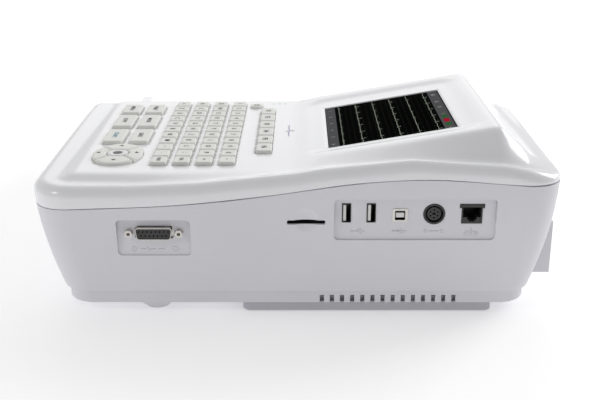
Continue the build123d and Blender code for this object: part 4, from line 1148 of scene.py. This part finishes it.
def turned(profile: list[tuple[float, float]], around: int = 40) -> np.ndarray:
    """Rings of a turned shape about Z: each profile point carried round a circle.

    Args:
        profile: Radius and height of each ring, bottom first.
        around: Points in a ring.

    Returns:
        Points as (ring, around, xyz).
    """
    angle = np.arange(around) * 2 * math.pi / around
    radius, height = np.array(profile).T
    x, y = radius[:, None] * np.cos(angle), radius[:, None] * np.sin(angle)
    return np.stack([x, y, np.broadcast_to(height[:, None], x.shape)], -1)


def recalculate(piece: bpy.types.Object) -> None:
    """Turn a piece's faces outwards."""
    work = bmesh.new()
    work.from_mesh(piece.data)
    bmesh.ops.recalc_face_normals(work, faces=work.faces)
    work.to_mesh(piece.data)
    work.free()


@dataclass
class PowerAndLamps:
    """Round power key with its mark, and three small lamps with icons beside them."""

    keys: KeyLayout
    mark_height: float = 99.58
    icon_height: float = 97.53

    def build(self) -> None:
        """Make the key, its mark, the lamps and the icons."""
        x, y = self.keys.power_centre
        radius = self.keys.power_radius
        centre = np.array([x, y, 0.0])
        profile = [
            (radius, 94.9),
            (radius, 98.9),
            (radius - 0.25, 99.35),
            (radius - 0.8, 99.55),
            (radius * 0.5, 99.45),
        ]
        piece = make_piece(
            "power_cap", *capped_rings(turned(profile) + centre), KEY_IVORY, "power", sharp=50.0
        )
        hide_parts("power_key")
        turn = np.linspace(math.radians(125), math.radians(415), 24)
        arc, arc_faces = ribbon(np.stack([x + 2.1 * np.cos(turn), y + 2.1 * np.sin(turn)], -1), 0.5)
        bar, bar_faces = ribbon(np.array([[x, y + 0.4], [x, y + 1.4], [x, y + 2.8]]), 0.5)
        flat = np.concatenate([arc, bar])
        faces = arc_faces + [[corner + len(arc) for corner in face] for face in bar_faces]
        mark = make_piece(
            "power_mark",
            np.concatenate([flat, np.full((len(flat), 1), self.mark_height)], 1),
            faces,
            INK_DARK,
            "power",
        )
        recalculate_up(mark)
        merged_copy("status_lamps", "status_lamp_lenses", LAMP_GREEN, "case")
        icons = [self._icon(y) for y in self.keys.lamp_ys]
        points = np.concatenate([icon for icon, _ in icons])
        sizes = np.cumsum([0] + [len(icon) for icon, _ in icons])
        every = [[c + start for c in face] for (_, own), start in zip(icons, sizes) for face in own]
        raised = np.concatenate([points, np.full((len(points), 1), self.icon_height)], 1)
        recalculate_up(make_piece("lamp_icons", raised, every, INK_LILAC))

    @staticmethod
    def _icon(y: float) -> tuple[np.ndarray, list]:
        """Open ring beside a lamp: a circle of a small radius as a ribbon."""
        turn = np.arange(16) * math.pi / 8
        return ribbon(np.stack([-3.2 + 1.2 * np.cos(turn), y + 1.2 * np.sin(turn)], -1), 0.4, closed=True)


def recalculate_up(piece: bpy.types.Object) -> None:
    """Turn the faces of a flat mark upwards."""
    work = bmesh.new()
    work.from_mesh(piece.data)
    down = [face for face in work.faces if face.normal.z < 0]
    bmesh.ops.reverse_faces(work, faces=down)
    work.to_mesh(piece.data)
    work.free()


# ---------------------------------------------------------------- display
@dataclass
class Display:
    """Black screen with ECG traces, a label bar at the front and a status bar at the back.

    Heights follow the hood's plane, which rises towards the back.
    """

    x_range: tuple[float, float] = (39.0, 150.5)
    y_range: tuple[float, float] = (22.5, 113.0)
    face_height: float = 105.0
    face_y: float = 21.5
    rise: float = 0.173
    sunk: float = 2.5
    traces: int = 6
    label_bar: float = 8.0
    status_bar: float = 8.6
    beat: float = 18.0

    def lift(self, flat: np.ndarray, above: float) -> np.ndarray:
        """Points of the screen's plane: height rises evenly towards the back.

        Args:
            flat: Points (x, y).
            above: Distance above the window's face.

        Returns:
            Points (x, y, z).
        """
        sunk = self.sunk * math.hypot(1.0, self.rise)
        z = self.face_height + self.rise * (flat[:, 1] - self.face_y) - sunk + above
        return np.concatenate([flat, z[:, None]], 1)

    def panel(
        self, name: str, low: tuple[float, float], high: tuple[float, float], above: float, finish: Finish
    ) -> None:
        """Flat rounded panel lying on the screen.

        Args:
            name: Name of the piece.
            low: Its lowest x and y.
            high: Its highest x and y.
            above: Distance above the window's face.
            finish: Its finish.
        """
        half = (np.array(high) - np.array(low)) / 2
        outline, normals = rounded_outline(half[0], half[1], min(0.5, half.min() * 0.6), 3)
        flat = outline + np.array(low) + half
        inner = outline * 0.5 + np.array(low) + half
        points = self.lift(np.concatenate([flat, inner, [np.array(low) + half]]), above)
        around = len(outline)
        here = np.arange(around)
        beside = (here + 1) % around
        fan = np.stack([here + around, beside + around, np.full(around, 2 * around)], -1).tolist()
        make_piece(name, points, grid_faces(2, around, True).tolist() + fan, finish)

    def trace_height(self, along: np.ndarray, phase: float, size: float) -> np.ndarray:
        """Height of a heartbeat trace: a small bump, a sharp spike with a dip each side, and a round bump,
        each a bell curve at its own place in the beat.

        Args:
            along: Places along the trace.
            phase: Where the first beat starts.
            size: Height of the spike.

        Returns:
            The heights.
        """
        part = ((along - phase) / self.beat) % 1.0
        waves = (
            (0.18, 0.035, 0.14),
            (0.36, 0.012, -0.16),
            (0.40, 0.014, 1.0),
            (0.44, 0.014, -0.26),
            (0.70, 0.06, 0.26),
        )
        return size * sum(tall * np.exp(-(((part - place) / width) ** 2) / 2) for place, width, tall in waves)

    def build(self) -> None:
        """Dress the window and draw what it shows."""
        dress("lcd_window", GLASS_BLACK)
        dress("lcd_module", SOCKET_BLACK)
        x0, x1 = self.x_range
        y0, y1 = self.y_range
        self.panel("label_bar", (x0 + 0.6, y0 + 0.4), (x1 - 0.6, y0 + self.label_bar), 0.04, BAR_GREY)
        self.panel("status_bar", (x0 + 0.6, y1 - self.status_bar), (x1 - 0.6, y1 - 0.6), 0.04, BAR_GREY)
        low, high = y0 + self.label_bar + 3.0, y1 - self.status_bar - 4.0
        along = np.linspace(x0 + 2.0, x1 - 2.0, 560)
        points: list[np.ndarray] = []
        faces: list[list[int]] = []
        for number, base in enumerate(np.linspace(low, high, self.traces)):
            size = (1.4, 3.0, 2.0, 2.6, 1.6, 2.8, 2.2)[number % 7]
            wave = base + self.trace_height(along, x0 + 1.7 * number, size)
            flat, own = ribbon(np.stack([along, wave], -1), 0.3)
            faces += [[corner + sum(map(len, points)) for corner in face] for face in own]
            points.append(flat)
        recalculate_up(make_piece("ecg_traces", self.lift(np.concatenate(points), 0.06), faces, TRACE_LIGHT))
        self._grid(low - 3.0, high + 5.0)
        self._status(y1 - self.status_bar / 2 - 0.4)
        self._labels(y0 + self.label_bar / 2 + 0.2)

    def _grid(self, low: float, high: float) -> None:
        """Faint dotted grid behind the traces: short crosswise dashes on an even raster."""
        xs = np.arange(self.x_range[0] + 6.0, self.x_range[1] - 3.0, 7.0)
        ys = np.arange(low, high, 4.0)
        dash = np.array([[-0.9, -0.12, 0], [0.9, -0.12, 0], [0.9, 0.12, 0], [-0.9, 0.12, 0]])
        places = np.array([(x, y, 0.0) for x in xs for y in ys])
        points, faces = repeated(dash, [[0, 1, 2, 3]], places)
        make_piece("screen_grid", self.lift(points[:, :2], 0.05), faces, TRACE_FAINT)

    def _status(self, y: float) -> None:
        """Small blocks and marks of the status bar, spread from the right end."""
        right = self.x_range[1]
        blocks = (
            (right - 14.0, 7.0, BLOCK_GREEN),
            (right - 24.0, 9.0, BLOCK_RED),
            (right - 34.0, 7.0, BLOCK_GREEN),
        )
        for number, (x, wide, finish) in enumerate(blocks):
            self.panel(
                f"status_block_{number}", (x - wide / 2, y - 1.9), (x + wide / 2, y + 1.9), 0.08, finish
            )
        lettering = Lettering()
        marks = [("60", self.x_range[0] + 12.0, y, 4.4), ("25", self.x_range[0] + 34.0, y, 3.8)]
        marks += [
            ("10", self.x_range[0] + 50.0, y, 3.8),
            ("I", right - 42.0, y, 3.8),
            ("+", right - 4.5, y, 3.8),
        ]
        flat, faces = lettering.place(marks)
        make_piece("status_marks", self.lift(flat, 0.08), faces, TRACE_LIGHT)

    def _labels(self, y: float) -> None:
        """Six labels along the front bar, one above each soft key."""
        lettering = Lettering()
        middle = np.linspace(self.x_range[0] + 9.5, self.x_range[1] - 9.5, 6)
        flat, faces = lettering.place([(text, x, y, 3.6) for text, x in zip("123456", middle)])
        make_piece("label_marks", self.lift(flat, 0.08), faces, TRACE_LIGHT)


# ---------------------------------------------------------------- case and sockets
def dress(node: str, finish: Finish) -> None:
    """Give a CAD node that stays as it is a finish of its own."""
    materials = NODES[node].data.materials
    materials.clear()
    materials.append(finish.material())
    LOG.info("%s: dressed in %s", node, finish.name)


@dataclass
class LowerCase:
    """Lower case with the wall's true normals, so that it shades as one smooth surface."""

    form: CaseForm

    def build(self) -> None:
        """Copy the case and lay the form's normals on its outer wall."""
        piece = merged_copy("lower_case", "case_body", CASE_SATIN, "case", sharp=30.0)
        mesh = piece.data
        corner_vertex = np.zeros(len(mesh.loops), np.int64)
        mesh.loops.foreach_get("vertex_index", corner_vertex)
        points = np.zeros(len(mesh.vertices) * 3)
        mesh.vertices.foreach_get("co", points)
        flat = np.zeros(len(mesh.polygons) * 3)
        mesh.polygons.foreach_get("normal", flat)
        counts = np.zeros(len(mesh.polygons), np.int64)
        mesh.polygons.foreach_get("loop_total", counts)
        own = np.repeat(flat.reshape(-1, 3), counts, 0)
        present = np.zeros(len(mesh.loops) * 3)
        mesh.corner_normals.foreach_get("vector", present)
        present = present.reshape(-1, 3)
        wall = self.form.normals(points.reshape(-1, 3)[corner_vertex] / MM)
        near = (own * wall).sum(1) > math.cos(math.radians(3.0))
        mesh.normals_split_custom_set(np.where(near[:, None], wall, present).tolist())


@dataclass
class SideMarks:
    """Raised generic marks under the sockets on the right side."""

    lettering: Lettering
    port_floor: float = 206.2
    patient_floor: float = 205.2
    proud: float = 0.22
    line: float = 0.42

    def stroke(self, path: list[tuple[float, float]], closed: bool = False) -> tuple[np.ndarray, list]:
        """A line of the marks' width through points (y, z)."""
        return ribbon(np.array(path, float), self.line, closed)

    def circle(self, y: float, z: float, radius: float) -> tuple[np.ndarray, list]:
        """A ring of the marks' width about a point (y, z)."""
        turn = np.arange(20) * math.pi / 10
        return ribbon(np.stack([y + radius * np.cos(turn), z + radius * np.sin(turn)], -1), self.line, True)

    def raise_marks(self, name: str, floor: float, shapes: list[tuple[np.ndarray, list]]) -> None:
        """Stand flat shapes a little proud of a panel's floor.

        Args:
            name: Name of the piece.
            floor: X of the panel's floor.
            shapes: Flat shapes in (y, z).
        """
        points: list[np.ndarray] = []
        faces: list[list[int]] = []
        for flat, own in shapes:
            faces += [[corner + sum(map(len, points)) for corner in face] for face in own]
            points.append(flat)
        flat = np.concatenate(points)
        placed = np.concatenate([np.full((len(flat), 1), floor), flat], 1)
        piece = make_piece(name, placed, faces, CASE_SATIN, sharp=30.0)
        work = bmesh.new()
        work.from_mesh(piece.data)
        bmesh.ops.reverse_faces(work, faces=[face for face in work.faces if face.normal.x < 0])
        work.to_mesh(piece.data)
        work.free()
        thick = piece.modifiers.new("relief", "SOLIDIFY")
        thick.thickness = self.proud * MM
        thick.offset = 1.0

    def data_fork(self, y: float, z: float) -> list[tuple[np.ndarray, list]]:
        """Three-armed data sign lying along Y."""
        return [
            self.stroke([(y - 4.2, z), (y, z), (y + 4.2, z)]),
            self.stroke([(y - 2.2, z), (y - 1.0, z + 0.7), (y + 0.4, z + 1.4), (y + 1.6, z + 1.4)]),
            self.stroke([(y - 1.2, z), (y, z - 0.7), (y + 1.2, z - 1.4), (y + 2.4, z - 1.4)]),
            self.circle(y - 4.6, z, 0.6),
        ]

    def build(self) -> None:
        """Make the marks of both panels."""
        z = 63.0
        ports = self.data_fork(41.2, z) + self.data_fork(68.4, z)
        ports += [self.circle(85.6, z, 1.1), self.circle(96.2, z, 1.1)]
        ports += [self.stroke([(88.0, z), (91.0, z), (94.0, z)])]
        tree_z = 62.2
        ports += [self.stroke([(115.8, tree_z + 3.0), (115.8, tree_z + 1.8), (115.8, tree_z + 0.6)])]
        ports += [self.stroke([(112.2, tree_z + 0.6), (115.8, tree_z + 0.6), (119.4, tree_z + 0.6)])]
        for y in (112.2, 115.8, 119.4):
            box_path = [
                (y - 1.0, tree_z - 2.2),
                (y + 1.0, tree_z - 2.2),
                (y + 1.0, tree_z - 0.4),
                (y - 1.0, tree_z - 0.4),
            ]
            ports += [self.stroke(box_path, closed=True)]
        self.raise_marks("port_signs", self.port_floor, ports)
        low = 49.8
        heart_turn = np.linspace(0.0, 2 * math.pi, 28, endpoint=False)
        heart = np.stack(
            [
                -80.5 + 2.1 * np.sin(heart_turn) ** 3,
                low
                + 0.13
                * (
                    13 * np.cos(heart_turn)
                    - 5 * np.cos(2 * heart_turn)
                    - 2 * np.cos(3 * heart_turn)
                    - np.cos(4 * heart_turn)
                ),
            ],
            -1,
        )
        patient = [ribbon(heart, self.line, True)]
        pulse = [
            (-103.5, low),
            (-100.5, low),
            (-99.3, low + 1.6),
            (-98.1, low - 1.6),
            (-96.9, low),
            (-93.9, low),
        ]
        patient += [self.stroke(pulse), self.stroke([(-92.0, low), (-90.0, low), (-88.0, low)])]
        patient += [self.circle(-108.2, low, 1.5)]
        self.raise_marks("patient_signs", self.patient_floor, patient)


@dataclass
class Hardware:
    """Carried-over CAD nodes: flat ones are dressed, turned and rounded ones become smooth copies."""

    dressed: dict[str, Finish] = field(
        default_factory=lambda: {
            "key_mat": MAT_GREY,
            "key_board": BOARD_GREEN,
            "main_board": BOARD_GREEN,
            "patient_board": BOARD_GREEN,
            "power_supply": BOARD_GREEN,
            "usb_tongues": TONGUE,
            "lan_port": SOCKET_BLACK,
            "card_socket": SOCKET_BLACK,
            "recorder_tray": TRAY_GREY,
            "thermal_head": ALUMINIUM,
        }
    )
    smoothed: dict[str, tuple[Finish, str]] = field(
        default_factory=lambda: {
            "recorder_door": (COVER_GLOSS, "door"),
            "door_latch": (COVER_GLOSS, "latch"),
            # Service cover: its darker grey is painted shade for the shadow under the case.
            "service_cover": (BASE_SATIN_PAINTED_SHADE, "case"),
            "feet": (FOOT_MOULDING, "case"),
            "battery_pack": (BATTERY_WRAP, "case"),
            "patient_shell": (NICKEL, "case"),
            "patient_insert": (SOCKET_BLACK, "case"),
            "jack_screws": (NICKEL, "case"),
            # USB shells: their near-black colour is painted shade for the inside of the openings.
            "usb_shells": (USB_SHELL_PAINTED_SHADE, "case"),
            "din_port": (SOCKET_BLACK, "case"),
            "mains_inlet": (SOCKET_BLACK, "case"),
            "inlet_pins": (BRASS, "case"),
            "mains_rocker": (SOCKET_BLACK, "rocker"),
            "fuse_holders": (SOCKET_BLACK, "case"),
            "earth_stud": (BRASS, "case"),
            "platen_roller": (PLATEN_RUBBER, "platen"),
            "platen_shaft": (STEEL, "platen"),
            "platen_gear": (GEAR_WHITE, "platen"),
            "idler_gear": (GEAR_WHITE, "idler"),
            "motor_pinion": (BRASS, "pinion"),
            "drive_motor": (STEEL, "case"),
            "hinge_pins": (STEEL, "case"),
            "case_screws": (STEEL, "case"),
        }
    )

    def build(self) -> None:
        """Dress and copy every node on the lists."""
        for node, finish in self.dressed.items():
            dress(node, finish)
        for node, (finish, body) in self.smoothed.items():
            merged_copy(node, f"{node}_smooth", finish, body)


@dataclass
class SquareSocketPlate:
    """Plated frame on the front of the square USB socket, round its dark opening."""

    centre: tuple[float, float] = (68.4, 74.2)
    outer: tuple[float, float] = (5.1, 4.5)
    opening: tuple[float, float] = (3.4, 3.3)
    depth: float = 1.2
    proud: float = 0.15

    def build(self) -> None:
        """Make the frame: a rounded rim that runs back outside and inside, open behind."""
        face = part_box("usb_shells")[1][0] / MM + self.proud
        rings = []
        for half, x in (
            (self.outer, face - self.depth),
            (self.outer, face),
            (self.opening, face),
            (self.opening, face - self.depth),
        ):
            outline, _ = rounded_outline(half[0], half[1], 0.6, 3)
            rings.append(np.column_stack([np.full(len(outline), x), outline + np.array(self.centre)]))
        faces = grid_faces(len(rings), len(rings[0]), True).tolist()
        recalculate(make_piece("usb_square_plate", np.concatenate(rings), faces, NICKEL))


@dataclass
class PanelMark:
    """Small pulse line printed on the panel beside the soft keys."""

    centre: tuple[float, float] = (86.0, -6.0)
    height: float = 98.1
    width: float = 30.0

    def build(self) -> None:
        """Print the line: flat, one spike up and down, flat."""
        x, y = self.centre
        shares = np.array([-0.5, -0.3, -0.12, -0.06, 0.0, 0.06, 0.12, 0.3, 0.5])
        rises = np.array([0.0, 0.0, 0.0, 0.6, 4.4, -2.6, 0.0, 0.0, 0.0])
        flat, faces = ribbon(np.stack([x + self.width * shares, y + rises], -1), 0.7)
        raised = np.concatenate([flat, np.full((len(flat), 1), self.height)], 1)
        recalculate_up(make_piece("panel_pulse_mark", raised, faces, INK_LILAC))


# ---------------------------------------------------------------- studio
@dataclass
class Studio:
    """Camera, plain pale floor and soft light."""

    camera_place: tuple[float, float, float] = (0.7981, 0.0025, 0.2991)
    pitch: float = 19.9
    lens: float = 57.66
    floor_half: float = 6.0
    lamps: tuple[tuple[str, tuple[float, float, float], tuple[float, float, float], float, float], ...] = (
        ("behind", (-1.8, 0.0, 1.05), (0.0, 0.0, 0.05), 1.7, 5.0),
        ("front_left", (0.75, -1.0, 0.75), (0.1, -0.1, 0.08), 0.28, 1.9),
        ("back_right", (-0.8, 1.5, 0.85), (0.05, 0.1, 0.1), 0.9, 14.0),
    )

    def build(self) -> None:
        """Make the camera, floor, lights and background."""
        scene = bpy.context.scene
        data = bpy.data.cameras.new("camera")
        data.lens = self.lens
        data.sensor_width = 36.0
        data.sensor_fit = "HORIZONTAL"
        data.clip_start = 0.01
        camera = bpy.data.objects.new("camera", data)
        camera.location = self.camera_place
        camera.rotation_euler = (math.radians(90.0 - self.pitch), 0.0, math.radians(90.0))
        scene.collection.objects.link(camera)
        scene.camera = camera
        scene.view_settings.view_transform = "Standard"

        half = self.floor_half
        mesh = bpy.data.meshes.new("studio_floor")
        mesh.from_pydata(
            [(-half, -half, 0), (half, -half, 0), (half, half, 0), (-half, half, 0)], [], [[0, 1, 2, 3]]
        )
        mesh.materials.append(
            Finish(
                "studio_paper", (0.97, 0.97, 0.97), 0.7, Sheen.LIT, drift=0.004, grain_depth=0.0, glow=0.3
            ).material()
        )
        floor = bpy.data.objects.new("studio_floor", mesh)
        scene.collection.objects.link(floor)

        for name, place, aim, size, power in self.lamps:
            light = bpy.data.lights.new(name, "AREA")
            light.size = size
            light.energy = power
            lamp = bpy.data.objects.new(name, light)
            lamp.location = place
            direction = np.array(aim) - np.array(place)
            tilt = math.acos(-direction[2] / np.linalg.norm(direction))
            lamp.rotation_euler = (tilt, 0.0, math.atan2(direction[1], direction[0]) - math.pi / 2)
            scene.collection.objects.link(lamp)
        self._background()

    @staticmethod
    def _background() -> None:
        """Even pale surroundings, brighter overhead and behind the object than in front of it.

        Strength is a middle value, less a share of the direction's x, plus a share of its z.
        """
        world = bpy.data.worlds.new("surroundings")
        world.use_nodes = True
        tree = world.node_tree
        shade = tree.nodes["Background"]
        shade.inputs["Color"].default_value = (1.0, 1.0, 1.0, 1.0)
        split = tree.nodes.new("ShaderNodeSeparateXYZ")
        tree.links.new(tree.nodes.new("ShaderNodeTexCoord").outputs["Generated"], split.inputs["Vector"])
        forward = tree.nodes.new("ShaderNodeMath")
        forward.operation = "MULTIPLY_ADD"
        forward.inputs[1].default_value = -0.32
        forward.inputs[2].default_value = 0.49
        tree.links.new(split.outputs["X"], forward.inputs[0])
        upward = tree.nodes.new("ShaderNodeMath")
        upward.operation = "MULTIPLY_ADD"
        upward.inputs[1].default_value = 0.08
        tree.links.new(split.outputs["Z"], upward.inputs[0])
        tree.links.new(forward.outputs["Value"], upward.inputs[2])
        tree.links.new(upward.outputs["Value"], shade.inputs["Strength"])
        bpy.context.scene.world = world


def main() -> None:
    """Build every part of the recorder in order."""
    logging.basicConfig(level=logging.INFO, format="%(message)s")
    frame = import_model()
    NODES.update(frame["nodes"])
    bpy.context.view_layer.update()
    form = CaseForm()
    keys = KeyLayout()
    lettering = Lettering()
    LowerCase(form).build()
    TopCover(form, PartingLine(), keys).build()
    Keyboard(keys, lettering).build()
    DirectionPad(keys).build()
    PowerAndLamps(keys).build()
    Display().build()
    PanelMark().build()
    SquareSocketPlate().build()
    SideMarks(lettering).build()
    Hardware().build()
    Studio().build()


if __name__ == "__main__":
    main()
